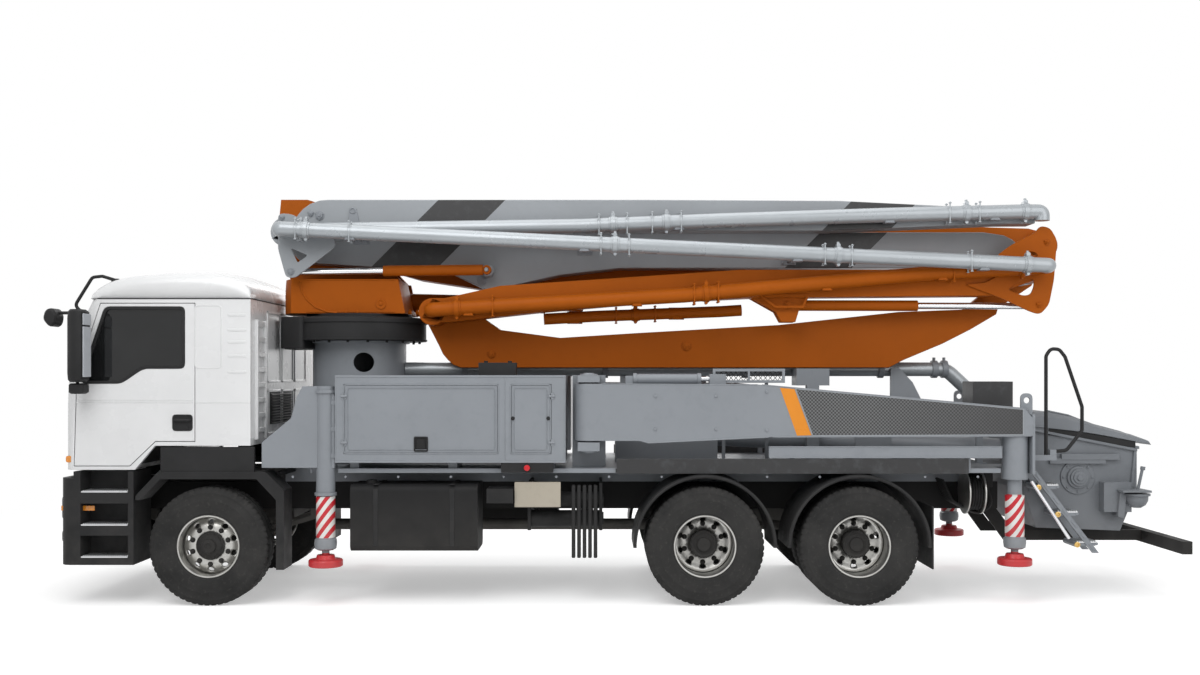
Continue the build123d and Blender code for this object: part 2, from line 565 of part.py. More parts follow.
with BuildPart() as cab_interior:
    for y in (-620, 620):
        block((-560, -80), (y - 250, y + 250), (CAB_ARCH + 50, 1800))
        slab([(-120, 1800), (60, 2500), (160, 2480), (0, 1800)], (y - 230, y + 230))
        drum((110, 2560), 70, (y - 130, y + 130))
    slab([(-1245, 1700), (-1245, 2090), (-980, 2060), (-900, 1980), (-930, 1780)], (-1170, 1170))
    rod((-960, 1980), (-820, 2110), 28, 620)
    with BuildSketch(Plane(origin=(FRONT_AXLE_X + 820, 620, 2110), z_dir=(-0.733, 0, 0.68))) as wheel_plane:
        Circle(225)
        Circle(195, mode=Mode.SUBTRACT)
        Rectangle(410, 40)
        Circle(60)
    extrude(wheel_plane.sketch, amount=24)
keep(cab_interior, "cab_interior")

for name, side in SIDES:
    with BuildPart() as door:
        slab(DOOR, span(side, INNER_HALF, CAB_HALF))
        slab(WINDOW, span(side, INNER_HALF - 1, CAB_HALF + 1), mode=Mode.SUBTRACT)
        slab(WINDOW, span(side, CAB_HALF - 26, CAB_HALF - 20))
        block((-325, -155), span(side, CAB_HALF, CAB_HALF + 22), (1600, 1700))
    keep(door, f"door_{name}")
    with BuildPart() as mirror:
        block((-1190, -1010), span(side, 1330, 1560), (2080, 2680))
        for z in (2150, 2600):
            block((-1150, -1110), span(side, CAB_HALF, 1335), (z, z + 30))
        block((-1180, -1020), span(side, 1340, 1500), (1930, 2060))
        block((-1110, -1090), span(side, 1400, 1440), (2050, 2090))
    keep(mirror, f"mirror_{name}")

# ---------------------------------------------------------------- turret and boom
with BuildPart() as turret:
    slab([(400, TURRET_LOW), (1660, TURRET_LOW), (1590, TURRET_DECK), (470, TURRET_DECK)], (-430, 430))
    post(TURRET_BACK, 0, TURRET_TURN_R, (TURRET_LOW - 1, TURRET_DECK + 1), mode=Mode.INTERSECT)
    fork = [(430, TURRET_DECK), (1560, TURRET_DECK), (1050, 3560), (850, 3780), (600, 3860), (330, 3860), (310, 3640)]
    slab(fork, (-520, -436))
    slab(fork, LANE_LINK)
    slab([(310, 3640), (330, 3860), (468, 3860), (455, 3780), (430, 3600)], (-520, LANE_LINK[1]))
    slab([(430, TURRET_DECK - 5), (900, TURRET_DECK - 5), (500, 3400), (400, 3420)], (-520, LANE_LINK[1]))
    block((1180, 1700), (-400, -180), (2735, 3100), mode=Mode.SUBTRACT)
    drum((1385, 2847), 45, (-430, -150))
    drum(PIVOT_1, BOOM_PIN_R, (-520, LANE_LINK[1]))
keep(turret, "turret")

with BuildPart() as boom_1:
    slab([(600, 3470), (1300, 3180), (1712, 3060), (2528, 2935), (3956, 2900), (7900, 3262), (8016, 3250), (8016, 3550),
          (7900, 3580), (1000, 3790), (675, 3760)], LANE_A)
    drum(PIVOT_1, 160, LANE_A)
    drum(PIVOT_2, 150, LANE_A)
    for y in (-395, -218):
        slab([(3150, 2950), (3250, 2740), (3350, 2740), (3450, 2950)], (y, y + 30))
    block((5220, 5380), (-475, LANE_A[0]), (3260, 3420))
    drum((5300, 3340), TRUNNION_R, (-585, -475))
    drum(PIVOT_1, BOOM_PIN_R + PIN_GAP, (-600, 0), mode=Mode.SUBTRACT)
    drum(PIVOT_2, BOOM_PIN_R + PIN_GAP, (-600, 0), mode=Mode.SUBTRACT)
keep(boom_1, "boom_1")

with BuildPart() as boom_2:
    slab([(1850, 2600), (1959, 2389), (2048, 2242), (2175, 2165), (6392, 2165), (6539, 2240), (6921, 2400),
          (7196, 2540), (7451, 2690), (7480, 2790), (7200, 2740), (6490, 2713), (5313, 2585), (3940, 2507),
          (3156, 2458), (2567, 2536), (2200, 2790), (1937, 2835)], LANE_B)
    drum(PIVOT_3, 135, LANE_B)
    slab([(6300, 2200), (6539, 2240), (7196, 2540), (7451, 2690), (7900, 2990), (8150, 3400), (7880, 3400),
          (7700, 3150), (7200, 2740), (6490, 2713)], (LANE_LINK[0], LANE_B[0]))
    drum(PIVOT_2, 150, LANE_LINK)
    block((6300, 8300), (LANE_LINK[1], LANE_B[0] + 0.001), (2795, 3600), mode=Mode.SUBTRACT)
    drum(PIVOT_2, BOOM_PIN_R, (-470, LANE_LINK[1]))
    # Lever of the cylinder between sections 1 and 2
    drum(PIVOT_2, 95, (-468, -440))
    slab([(7950, 3400), (8080, 3400), (8060, 3090), (7960, 3090)], (-468, -440))
    drum((4400, 2380), TRUNNION_R, (-148, LANE_B[0]))
    drum(PIVOT_3, BOOM_PIN_R + PIN_GAP, (-600, 700), mode=Mode.SUBTRACT)
    # Pipe along the near face
    tube([(3000, 2570), (3940, 2585), (4900, 2640)], 316, 55, PIPE_WALL, bend=600)
    for back in (3300, 4300):
        block((back - 25, back + 25), (200, 263), (2420, 2620))
keep(boom_2, "boom_2")

with BuildPart() as boom_3:
    slab([(1830, 2640), (2110, 2600), (3000, 2700), (3932, 2780), (4967, 2833), (7300, 2853), (7700, 2995),
          (7767, 3240), (7479, 3150), (7300, 3102), (4890, 3102), (2589, 2948), (2062, 2830), (1937, 2829)], LANE_C)
    drum(PIVOT_3, 130, (LANE_B[1] + GAP, LANE_C[1]))
    drum(PIVOT_4, 130, (LANE_B[1] + GAP, LANE_C[1]))
    for y in (350, 485):
        slab([(4967, 2850), (5236, 2699), (5290, 2600), (5430, 2600), (5466, 2718), (5571, 2850)], (y, y + 25))
    drum((5360, 2766), TRUNNION_R, (350, 510))
    drum(PIVOT_3, BOOM_PIN_R, (-140, LANE_C[1]))
    drum(PIVOT_3, 95, (-142, -126))
    slab([(1880, 2699), (2000, 2699), (1985, 2420), (1895, 2420)], (-142, -126))
    drum(PIVOT_4, BOOM_PIN_R + PIN_GAP, (-600, 700), mode=Mode.SUBTRACT)
    tube([(2100, 2760), (3929, 2847), (5928, 2952), (7356, 3037), (7650, 3080)], 662, PIPE_R, PIPE_WALL, bend=600)
    for back, z in ((2300, 2770), (3900, 2850), (5700, 2940), (6800, 3000)):
        block((back - 30, back + 30), (LANE_C[1], 600), (z - 50, z + 50))
keep(boom_3, "boom_3")

LEVER_4 = [(7340, 3230), (7480, 3335), (7712, 3454), (7760, 3521), (7856, 3502), (7923, 3387), (7894, 3004),
           (7846, 2765), (7760, 2669), (7664, 2698), (7377, 2832), (7042, 2957), (7233, 2976), (7473, 3100)]
with BuildPart() as boom_4:
    slab([(480, 3330), (606, 3203), (2057, 3105), (2450, 2919), (3156, 3076), (3744, 3144), (7400, 3144), (7767, 2990),
          (7767, 3255), (7520, 3468), (7323, 3497), (640, 3497), (528, 3590), (420, 3466)], LANE_B)
    drum(PIVOT_4, 135, LANE_B)
    drum(PIVOT_4, BOOM_PIN_R, (LANE_B[1], LANE_LEVER[1]))
    slab(LEVER_4, LANE_LEVER)
    slab([(7560, 3330), (7740, 3400), (7780, 3280), (7620, 3240)], LANE_LEVER, mode=Mode.SUBTRACT)
    drum(PIVOT_5, 125, LANE_B)
    drum(PIVOT_5, BOOM_PIN_R + PIN_GAP, (-600, 700), mode=Mode.SUBTRACT)
    drum((2450, 3111), 60, (LANE_B[1], 372))
    drum((2450, 3111), TRUNNION_R, (372, 490))
    tube([(620, 3430), (7650, 3105)], 812, PIPE_R, PIPE_WALL)
    for back, z in ((1500, 3389), (3400, 3301), (5400, 3209), (7150, 3128)):
        block((back - 20, back + 20), (LANE_B[1], 746), (z - 20, z + 20))
keep(boom_4, "boom_4")

with BuildPart() as boom_5:
    slab([(395, 3400), (700, 3562), (786, 3715), (940, 3773), (3932, 3773), (5849, 3763), (7383, 3687), (7720, 3687),
          (7720, 3545), (7383, 3543), (5753, 3476), (1500, 3476), (900, 3380), (640, 3335)], LANE_C)
    drum(PIVOT_5, 140, LANE_C)
    drum(PIVOT_5, BOOM_PIN_R, (LANE_B[0], LANE_C[1]))
    slab([(471, 3624), (528, 3643), (777, 3605), (872, 3290), (640, 3045), (560, 3045), (528, 3079), (640, 3261),
          (480, 3400)], (LANE_C[1], LANE_LEVER[1]))
    tube([(1900, 3620), (5000, 3600), (7560, 3630)], 650, PIPE_R, PIPE_WALL, bend=600)
    for back in (2300, 4300, 6300, 7300):
        block((back - 30, back + 30), (LANE_C[1], 590), (3580, 3640))
keep(boom_5, "boom_5")

# ---------------------------------------------------------------- cylinders
FOLD_STROKE = 420.0  # how far each folding cylinder's rod draws in
FOLD_HIDDEN = 440.0
# name: base (back, z), eye (back, z), y, barrel radius, rod radius, barrel length, rod's hidden length,
# length that it draws in, pin radius
CYLINDERS = {
    "lift": ((1385, 2847), (3300, 2800), -290, 85, 60, 1600, 1480, 0, 45),
    "fold_2": ((5300, 3340), (7990, 3120), -527, 50, 30, 1500, FOLD_HIDDEN, FOLD_STROKE, TRUNNION_R),
    "fold_3": ((4400, 2380), (1990, 2450), -98, 42, 22, 1400, FOLD_HIDDEN, FOLD_STROKE, TRUNNION_R),
    "fold_4": ((5360, 2766), (7741, 2760), 430, 52, 32, 1262, FOLD_HIDDEN, FOLD_STROKE, TRUNNION_R),
    "fold_5": ((2450, 3111), (600, 3092), 430, 52, 32, 1000, FOLD_HIDDEN, FOLD_STROKE, TRUNNION_R),
}

for name, (base, eye, y, barrel_r, rod_r, barrel_length, hidden, draw, pin_r) in CYLINDERS.items():
    run = hypot(eye[0] - base[0], eye[1] - base[1])
    ub, uz = (eye[0] - base[0]) / run, (eye[1] - base[1]) / run
    mouth = (base[0] + ub * barrel_length, base[1] + uz * barrel_length)
    depth = hidden + draw + 20
    floor = (mouth[0] - ub * depth, mouth[1] - uz * depth)
    tail = (mouth[0] - ub * hidden, mouth[1] - uz * hidden)
    with BuildPart() as barrel:
        rod(base, mouth, barrel_r, y, ends=(-0.7 * barrel_r, 0))
        drum(base, 0.85 * barrel_r, (y - 0.6 * barrel_r, y + 0.6 * barrel_r))
        rod(floor, mouth, rod_r + PIN_GAP, y, mode=Mode.SUBTRACT, ends=(0, 5))
        drum(base, pin_r + PIN_GAP, (y - 200, y + 200), mode=Mode.SUBTRACT)
    keep(barrel, f"{name}_barrel")
    with BuildPart() as piston:
        rod(tail, eye, rod_r, y, ends=(0, -rod_r))
        drum(eye, 1.5 * rod_r, (y - 0.8 * rod_r, y + 0.8 * rod_r))
        drum(eye, 0.8 * rod_r, (y - 200, y + 200), mode=Mode.SUBTRACT)
    keep(piston, f"{name}_rod")
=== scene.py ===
"""Looks of a truck-mounted concrete pump: finishes, small fittings, floor, light and camera.

Metres. +X points to the front, +Y to the driver's left, +Z up. Lengthwise places are given as "back": how
far behind the front axle. Every form is built where the frame says and rides on one of its bodies.
"""

from math import cos, pi, radians, sin, tan, tau

import bmesh
import bpy
from mathutils import Matrix, Vector


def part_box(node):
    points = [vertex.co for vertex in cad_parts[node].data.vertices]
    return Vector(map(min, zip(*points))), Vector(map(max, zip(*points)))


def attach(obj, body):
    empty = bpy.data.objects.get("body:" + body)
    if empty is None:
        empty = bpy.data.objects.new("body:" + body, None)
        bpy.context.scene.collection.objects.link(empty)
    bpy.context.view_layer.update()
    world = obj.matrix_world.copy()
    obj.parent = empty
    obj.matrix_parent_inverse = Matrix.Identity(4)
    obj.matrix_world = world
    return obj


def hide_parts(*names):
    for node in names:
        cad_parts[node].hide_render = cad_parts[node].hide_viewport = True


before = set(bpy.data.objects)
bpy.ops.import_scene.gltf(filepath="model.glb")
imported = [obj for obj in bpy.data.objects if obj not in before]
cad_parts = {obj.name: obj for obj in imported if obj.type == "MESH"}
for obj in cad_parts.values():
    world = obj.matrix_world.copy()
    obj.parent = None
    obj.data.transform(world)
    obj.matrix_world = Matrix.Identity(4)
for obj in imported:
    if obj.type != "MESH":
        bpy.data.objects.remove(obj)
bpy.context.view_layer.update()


def middle(node):
    """The centre of a node's box."""
    low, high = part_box(node)
    return (low + high) / 2


# ---------------------------------------------------------------- driving values
AXLE_X = middle("front_wheel_left").x
AXLE_Z = middle("front_wheel_left").z
HALF_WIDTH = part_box("side_boxes")[1].y
HOPPER_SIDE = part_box("hopper")[1].y - 0.12
SIDES = (("left", 1), ("right", -1))
DUAL_BACKS = {axle: AXLE_X - middle(f"{axle}_wheels_left").x for axle in ("mid", "rear")}
# The cab's front leans back in an arc: its radius, the height where it starts, its place ahead of the axle
NOSE_RADIUS, NOSE_FOOT, NOSE_FRONT = 1.974, 1.85, 1.295


def place(back, y, z):
    """A point given by its distance behind the front axle."""
    return Vector((AXLE_X - back, y, z))


def span(side, low, high):
    """Two values of y on one side of the truck, in rising order."""
    return (low, high) if side > 0 else (-high, -low)


def skin(side, y, inward, outward):
    """Two values of y around that of a side face."""
    return span(side, y - inward, y + outward)


# ---------------------------------------------------------------- forms
class Form:
    """Simple solids gathered in one mesh, which becomes one piece of the scene."""

    def __init__(self):
        self.bm = bmesh.new()

    def loft(self, rings, caps=True, closed=True):
        """Joins rings of as many points each by quads."""
        verts = [[self.bm.verts.new(point) for point in ring] for ring in rings]
        count = len(verts[0])
        for ring, following in zip(verts, verts[1:]):
            for i in range(count if closed else count - 1):
                j = (i + 1) % count
                self.bm.faces.new((ring[i], ring[j], following[j], following[i]))
        if caps:
            self.bm.faces.new(verts[0])
            self.bm.faces.new(verts[-1][::-1])
        return self

    def prism(self, outline, lane):
        """A side-view outline of (back, z) points between two values of y."""
        return self.loft([[place(back, y, z) for back, z in outline] for y in lane])

    def plan(self, outline, zs):
        """A plan outline of (back, y) points between two heights."""
        return self.loft([[place(back, y, z) for back, y in outline] for z in zs])

    def box(self, backs, ys, zs):
        """A box between two values of back, y and z."""
        corners = [(backs[0], zs[0]), (backs[1], zs[0]), (backs[1], zs[1]), (backs[0], zs[1])]
        return self.prism(corners, ys)

    def bar(self, start, end, radius, sides, end_radius=None):
        """A round bar or cone from start to end."""
        run = end - start
        turn = run.to_track_quat("Z", "Y").to_matrix().to_4x4()
        bmesh.ops.create_cone(
            self.bm, cap_ends=True, segments=sides, radius1=radius, depth=run.length,
            radius2=radius if end_radius is None else end_radius,
            matrix=Matrix.Translation((start + end) / 2) @ turn,
        )
        return self

    def pipe(self, points, radius, bend, sides):
        """A round pipe through the points, with its corners rounded to the bend's radius."""
        return self.loft(sweep_rings(rounded_path(points, bend), ring_points(radius, sides)))

    def turned(self, profile, centre, axis="Y", sides=48):
        """A turned form: profile is (along, radius) from the centre."""
        frame_of = {"X": (Vector((1, 0, 0)), Vector((0, 1, 0)), Vector((0, 0, 1))),
                    "Y": (Vector((0, 1, 0)), Vector((1, 0, 0)), Vector((0, 0, 1))),
                    "Z": (Vector((0, 0, 1)), Vector((1, 0, 0)), Vector((0, 1, 0)))}
        along, u, v = frame_of[axis]
        rings = []
        for step, radius in profile:
            ring = []
            for i in range(sides):
                angle = tau * i / sides
                ring.append(centre + along * step + (u * cos(angle) + v * sin(angle)) * radius)
            rings.append(ring)
        return self.loft(rings, caps=False)

    def as_object(self, name):
        """Makes the bare object."""
        bmesh.ops.recalc_face_normals(self.bm, faces=self.bm.faces)
        mesh = bpy.data.meshes.new(name)
        self.bm.to_mesh(mesh)
        self.bm.free()
        thing = bpy.data.objects.new(name, mesh)
        bpy.context.scene.collection.objects.link(thing)
        return thing

    def piece(self, name, look, body="chassis", bevel=0.0, sharp=35):
        """Makes the object in one of the finishes, breaks its edges by a bevel, and rides it on the body."""
        thing = self.as_object(name)
        mesh = thing.data
        mesh.polygons.foreach_set("use_smooth", [True] * len(mesh.polygons))
        mesh.set_sharp_from_angle(angle=radians(sharp))
        mesh.materials.append(MATERIALS[look])
        if bevel:
            edge = thing.modifiers.new("edges", "BEVEL")
            edge.width, edge.segments, edge.limit_method = bevel, 2, "ANGLE"
            edge.angle_limit = radians(40)
        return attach(thing, body)


def ring_points(radius, sides):
    return [(radius * cos(tau * i / sides), radius * sin(tau * i / sides)) for i in range(sides)]


def rounded_path(points, bend):
    """The points with each corner replaced by an arc."""
    steps = 6
    path = [points[0]]
    for before, corner, after in zip(points, points[1:], points[2:]):
        into, out = (corner - before), (after - corner)
        turn = into.angle(out)
        reach = min(bend * tan(turn / 2), into.length * 0.49, out.length * 0.49)
        start, end = corner - into.normalized() * reach, corner + out.normalized() * reach
        for i in range(steps + 1):
            t = i / steps
            path.append(start * (1 - t) ** 2 + corner * 2 * t * (1 - t) + end * t * t)
    path.append(points[-1])
    return path


def sweep_rings(path, section):
    """Copies of a flat section carried along a path without twist."""
    rings, normal = [], None
    for i, point in enumerate(path):
        ahead = (path[min(i + 1, len(path) - 1)] - path[max(i - 1, 0)]).normalized()
        if normal is None:
            normal = ahead.orthogonal().normalized()
        normal = (normal - ahead * normal.dot(ahead)).normalized()
        other = ahead.cross(normal)
        rings.append([point + normal * u + other * v for u, v in section])
    return rings


def rounded_outline(outline, radius):
    """A flat outline with its corners rounded."""
    steps = 4
    corners = [Vector(point) for point in outline]
    path = []
    for i, corner in enumerate(corners):
        before, after = corners[i - 1], corners[(i + 1) % len(corners)]
        start = corner + (before - corner).normalized() * min(radius, (before - corner).length * 0.45)
        end = corner + (after - corner).normalized() * min(radius, (after - corner).length * 0.45)
        for k in range(steps + 1):
            t = k / steps
            path.append(tuple(start * (1 - t) ** 2 + corner * 2 * t * (1 - t) + end * t * t))
    return path


# ---------------------------------------------------------------- finishes
class Shader:
    """A Principled material whose nodes are made by short calls."""

    def __init__(self, name, **sockets):
        self.material = bpy.data.materials.new(name)
        self.material.use_nodes = True
        self.tree = self.material.node_tree
        self.surface = self.tree.nodes["Principled BSDF"]
        for socket, value in sockets.items():
            self.surface.inputs[socket.replace("_", " ")].default_value = value
        self.place = self.node("ShaderNodeTexCoord").outputs["Object"]

    def node(self, kind, inputs=(), **settings):
        made = self.tree.nodes.new(kind)
        for key, value in settings.items():
            setattr(made, key, value)
        for key, value in dict(inputs).items():
            if isinstance(value, bpy.types.NodeSocket):
                self.tree.links.new(value, made.inputs[key])
            else:
                made.inputs[key].default_value = value
        return made

    def noise(self, scale, detail, rough=0.55):
        made = self.node("ShaderNodeTexNoise", {"Vector": self.place, "Scale": scale,
                                                "Detail": detail, "Roughness": rough})
        return made.outputs["Fac"]

    def maths(self, operation, first, second=0.0):
        return self.node("ShaderNodeMath", {0: first, 1: second}, operation=operation).outputs[0]

    def remap(self, value, low, high, to_low=0.0, to_high=1.0):
        made = self.node("ShaderNodeMapRange", {"Value": value, "From Min": low, "From Max": high,
                                                "To Min": to_low, "To Max": to_high})
        return made.outputs["Result"]

    def mix(self, amount, first, second):
        made = self.node("ShaderNodeMix", data_type="RGBA")
        for index, value in ((0, amount), (6, first), (7, second)):
            if isinstance(value, bpy.types.NodeSocket):
                self.tree.links.new(value, made.inputs[index])
            else:
                made.inputs[index].default_value = value if index == 0 else (*value, 1.0)
        return made.outputs[2]

    def axes(self):
        """The separate X, Y and Z of the place on the part."""
        made = self.node("ShaderNodeSeparateXYZ", {"Vector": self.place})
        return made.outputs

    def within(self, value, low, high):
        """1 where the value lies between low and high."""
        above = self.maths("GREATER_THAN", value, low)
        return self.maths("MULTIPLY", above, self.maths("LESS_THAN", value, high))

    def all_of(self, *masks):
        result = masks[0]
        for mask in masks[1:]:
            result = self.maths("MULTIPLY", result, mask)
        return result

    def edges(self, radius):
        """A rounded normal, and how near an edge the place lies."""
        rounded = self.node("ShaderNodeBevel", {"Radius": radius}, samples=4).outputs["Normal"]
        true = self.node("ShaderNodeNewGeometry").outputs["Normal"]
        cosine = self.node("ShaderNodeVectorMath", {0: rounded, 1: true},
                           operation="DOT_PRODUCT").outputs["Value"]
        return rounded, self.maths("SUBTRACT", 1.0, cosine)

    def feed(self, socket, value):
        self.tree.links.new(value, self.surface.inputs[socket])

    def bump(self, height, strength, distance, normal=None):
        inputs = {"Height": height, "Strength": strength, "Distance": distance}
        if normal is not None:
            inputs["Normal"] = normal
        self.feed("Normal", self.node("ShaderNodeBump", inputs).outputs["Normal"])


def shade(colour, factor):
    return tuple(channel * factor for channel in colour)


def painted(name, colour, roughness, coat, grime, worn=None, metallic=0.0, edge=0.004, zones=(),
            low_dust=0.0, specular=0.3):
    """Painted sheet steel: fine texture, dull patches, dust low down and paler rubbed edges.

    zones are (mask maker, colour) pairs: the maker gets the shader and returns a mask socket.
    """
    shader = Shader(name, Metallic=metallic, Coat_Weight=coat, Coat_Roughness=0.2,
                    Specular_IOR_Level=specular)
    base = shader.mix(shader.remap(shader.noise(1.7, 5), 0.35, 0.7), shade(colour, 0.93), colour)
    for make_mask, zone_colour in zones:
        base = shader.mix(make_mask(shader), base, zone_colour)
    dirt = shader.remap(shader.noise(9.0, 8, 0.65), 0.52, 0.78, 0.0, grime)
    base = shader.mix(dirt, base, shade(colour, 0.62))
    if low_dust:
        height = shader.axes()["Z"]
        film = shader.maths("MULTIPLY", shader.remap(height, 1.1, 0.3, 0.0, low_dust), shader.noise(5.0, 6))
        base = shader.mix(film, base, (0.3, 0.28, 0.25))
    normal, nearness = shader.edges(edge)
    rub = shader.maths("MULTIPLY", shader.remap(nearness, 0.02, 0.25),
                       shader.remap(shader.noise(22, 6), 0.45, 0.75))
    base = shader.mix(rub, base, worn or tuple(min(channel * 1.5 + 0.05, 0.85) for channel in colour))
    shader.feed("Base Color", base)
    patches = shader.remap(shader.noise(3.1, 6), 0.3, 0.72, *roughness)
    shader.feed("Roughness", patches)
    shader.bump(shader.noise(190, 2), 0.12, 0.0006, normal)
    return shader.material


def stripe_mask(ranges, reach):
    """Slanted bands on the side faces, by ranges of back minus height, within two values of y."""
    def make(shader):
        axes = shader.axes()
        lean = shader.maths("SUBTRACT", shader.maths("SUBTRACT", AXLE_X, axes["X"]), axes["Z"])
        bands = [shader.within(lean, low, high) for low, high in ranges]
        total = bands[0]
        for band in bands[1:]:
            total = shader.maths("ADD", total, band)
        facing = shader.node("ShaderNodeSeparateXYZ",
                             {"Vector": shader.node("ShaderNodeNewGeometry").outputs["Normal"]})
        side = shader.maths("GREATER_THAN", shader.maths("ABSOLUTE", facing.outputs["Y"]), 0.6)
        return shader.all_of(total, side, shader.within(axes["Y"], *reach))
    return make


def region_mask(zs, backs=None, across=None):
    """A box-shaped region of the part; across limits the distance from the middle plane."""
    def make(shader):
        axes = shader.axes()
        masks = []
        if backs:
            masks.append(shader.within(axes["X"], AXLE_X - backs[1], AXLE_X - backs[0]))
        masks.append(shader.within(axes["Z"], *zs))
        if across:
            masks.append(shader.within(shader.maths("ABSOLUTE", axes["Y"]), *across))
        return shader.all_of(*masks)
    return make


def moulded(name, colour):
    """Grained black plastic, a little faded and dusty low down."""
    shader = Shader(name, Specular_IOR_Level=0.15)
    base = shader.mix(shader.remap(shader.noise(2.3, 6), 0.3, 0.7), shade(colour, 0.8), shade(colour, 1.15))
    film = shader.maths("MULTIPLY", shader.remap(shader.axes()["Z"], 1.3, 0.2, 0.0, 0.12),
                        shader.remap(shader.noise(6.0, 7), 0.35, 0.75))
    base = shader.mix(film, base, (0.22, 0.205, 0.185))
    normal, nearness = shader.edges(0.004)
    base = shader.mix(shader.remap(nearness, 0.02, 0.35, 0.0, 0.5), base, shade(colour, 2.2))
    shader.feed("Base Color", base)
    shader.feed("Roughness", shader.remap(shader.noise(4.0, 6), 0.3, 0.7, 0.45, 0.68))
    shader.bump(shader.noise(420, 2, 0.7), 0.25, 0.0006, normal)
    return shader.material


def rubber(name):
    """Tyre rubber: dusty sidewalls and a fine grain."""
    shader = Shader(name, Specular_IOR_Level=0.12)
    base = shader.mix(shader.remap(shader.noise(3.0, 7), 0.3, 0.75),
                      (0.02, 0.02, 0.02), (0.04, 0.039, 0.038))
    base = shader.mix(shader.remap(shader.noise(30, 6, 0.7), 0.55, 0.8, 0.0, 0.5),
                      base, (0.09, 0.085, 0.078))
    shader.feed("Base Color", base)
    shader.feed("Roughness", shader.remap(shader.noise(8, 5), 0.3, 0.7, 0.6, 0.85))
    shader.bump(shader.noise(260, 4, 0.7), 0.3, 0.0008)
    return shader.material


def bare_metal(name, colour, roughness, amount, tarnish=(0.2, 0.18, 0.16)):
    """Steel, aluminium or brass with stains and fine scratches."""
    shader = Shader(name, Metallic=0.9)
    base = shader.mix(shader.remap(shader.noise(6, 7, 0.65), 0.45, 0.8, 0.0, amount), colour, tarnish)
    shader.feed("Base Color", base)
    shader.feed("Roughness", shader.remap(shader.noise(14, 6, 0.6), 0.3, 0.7, *roughness))
    shader.bump(shader.noise(160, 3, 0.6), 0.12, 0.0005)
    return shader.material


def glazed(name, tint, transmission):
    """Tinted safety glass with a thin film of dust."""
    shader = Shader(name, IOR=1.45, Transmission_Weight=transmission)
    haze = shader.remap(shader.noise(3.5, 6), 0.45, 0.8)
    shader.feed("Base Color", shader.mix(haze, tint, tuple(channel * 1.1 + 0.01 for channel in tint)))
    shader.feed("Roughness", shader.remap(shader.noise(7, 6), 0.4, 0.8, 0.02, 0.1))
    shader.bump(shader.noise(1.2, 1), 0.05, 0.002)
    return shader.material


def lens(name, colour):
    """A ribbed lamp lens."""
    shader = Shader(name, Coat_Weight=0.6, IOR=1.5, Transmission_Weight=0.25)
    wave = shader.node("ShaderNodeTexWave", {"Vector": shader.place, "Scale": 40.0}, bands_direction="Z")
    shader.feed("Base Color", shader.mix(wave.outputs["Fac"], shade(colour, 0.8), colour))
    shader.feed("Roughness", shader.remap(shader.noise(20, 3), 0.3, 0.7, 0.08, 0.22))
    shader.bump(wave.outputs["Fac"], 0.4, 0.002)
    return shader.material


def woven(name):
    """Dark film with a woven look: small over-and-under squares."""
    shader = Shader(name, Coat_Weight=0.35, Coat_Roughness=0.12)
    checks = shader.node("ShaderNodeTexChecker", {"Vector": shader.place, "Scale": 62.0}).outputs["Fac"]
    turned = shader.node("ShaderNodeMapping", {"Vector": shader.place, "Rotation": (0, radians(45), 0)})
    weave = shader.node("ShaderNodeTexWave", {"Vector": turned.outputs["Vector"], "Scale": 40.0},
                        bands_direction="X").outputs["Fac"]
    tone = shader.maths("MULTIPLY", checks, shader.remap(weave, 0.2, 0.8, 0.55, 1.0))
    fade = shader.remap(shader.axes()["X"], AXLE_X - 7.45, AXLE_X - 5.9, 0.12, 1.0)
    tone = shader.maths("MULTIPLY", tone, fade)
    shader.feed("Base Color", shader.mix(tone, (0.012, 0.012, 0.013), (0.145, 0.148, 0.15)))
    shader.feed("Roughness", shader.remap(shader.noise(5, 5), 0.3, 0.7, 0.28, 0.42))
    shader.bump(checks, 0.15, 0.0008)
    return shader.material


WHITE = (0.7, 0.705, 0.71)
GREY = (0.235, 0.252, 0.274)
LIGHT_GREY = (0.285, 0.303, 0.322)
PIPE_GREY = (0.36, 0.385, 0.405)
ORANGE = (0.365, 0.084, 0.004)
BLACK = (0.03, 0.03, 0.031)
PLASTIC = (0.034, 0.034, 0.035)
DARK_STRIPE = (0.032, 0.032, 0.033)
RED = (0.55, 0.01, 0.018)


def leg_zones():
    """The jack's zones from the pad up: red pad, grey foot, red and white slanted bands."""
    def slant(shader):
        axes = shader.axes()
        lean = shader.maths("ADD", shader.maths("MULTIPLY", axes["X"], 1.35), axes["Z"])
        return shader.maths("GREATER_THAN", shader.maths("FRACT", shader.maths("MULTIPLY", lean, 8.6)), 0.5)

    band = region_mask((0.615, 1.0))
    pad = region_mask((0.0, 0.474))
    return (
        (band, (0.74, 0.72, 0.7)),
        (lambda shader: shader.all_of(band(shader), slant(shader)), (0.52, 0.012, 0.022)),
        (pad, RED),
    )


def cab_inside(shader):
    """The room inside the cab's walls, behind its curved front."""
    axes = shader.axes()
    rise = shader.maths("MAXIMUM", shader.maths("SUBTRACT", axes["Z"], NOSE_FOOT), 0.0)
    reach = shader.maths("SQRT", shader.maths("SUBTRACT", NOSE_RADIUS ** 2,
                                              shader.maths("MULTIPLY", rise, rise)))
    centre = AXLE_X + NOSE_FRONT - NOSE_RADIUS
    behind = shader.maths("LESS_THAN", axes["X"], shader.maths("ADD", reach, centre - 0.03))
    return shader.all_of(behind, region_mask((1.28, 2.783), (-1.3, 0.3385), (-0.01, 1.1855))(shader))


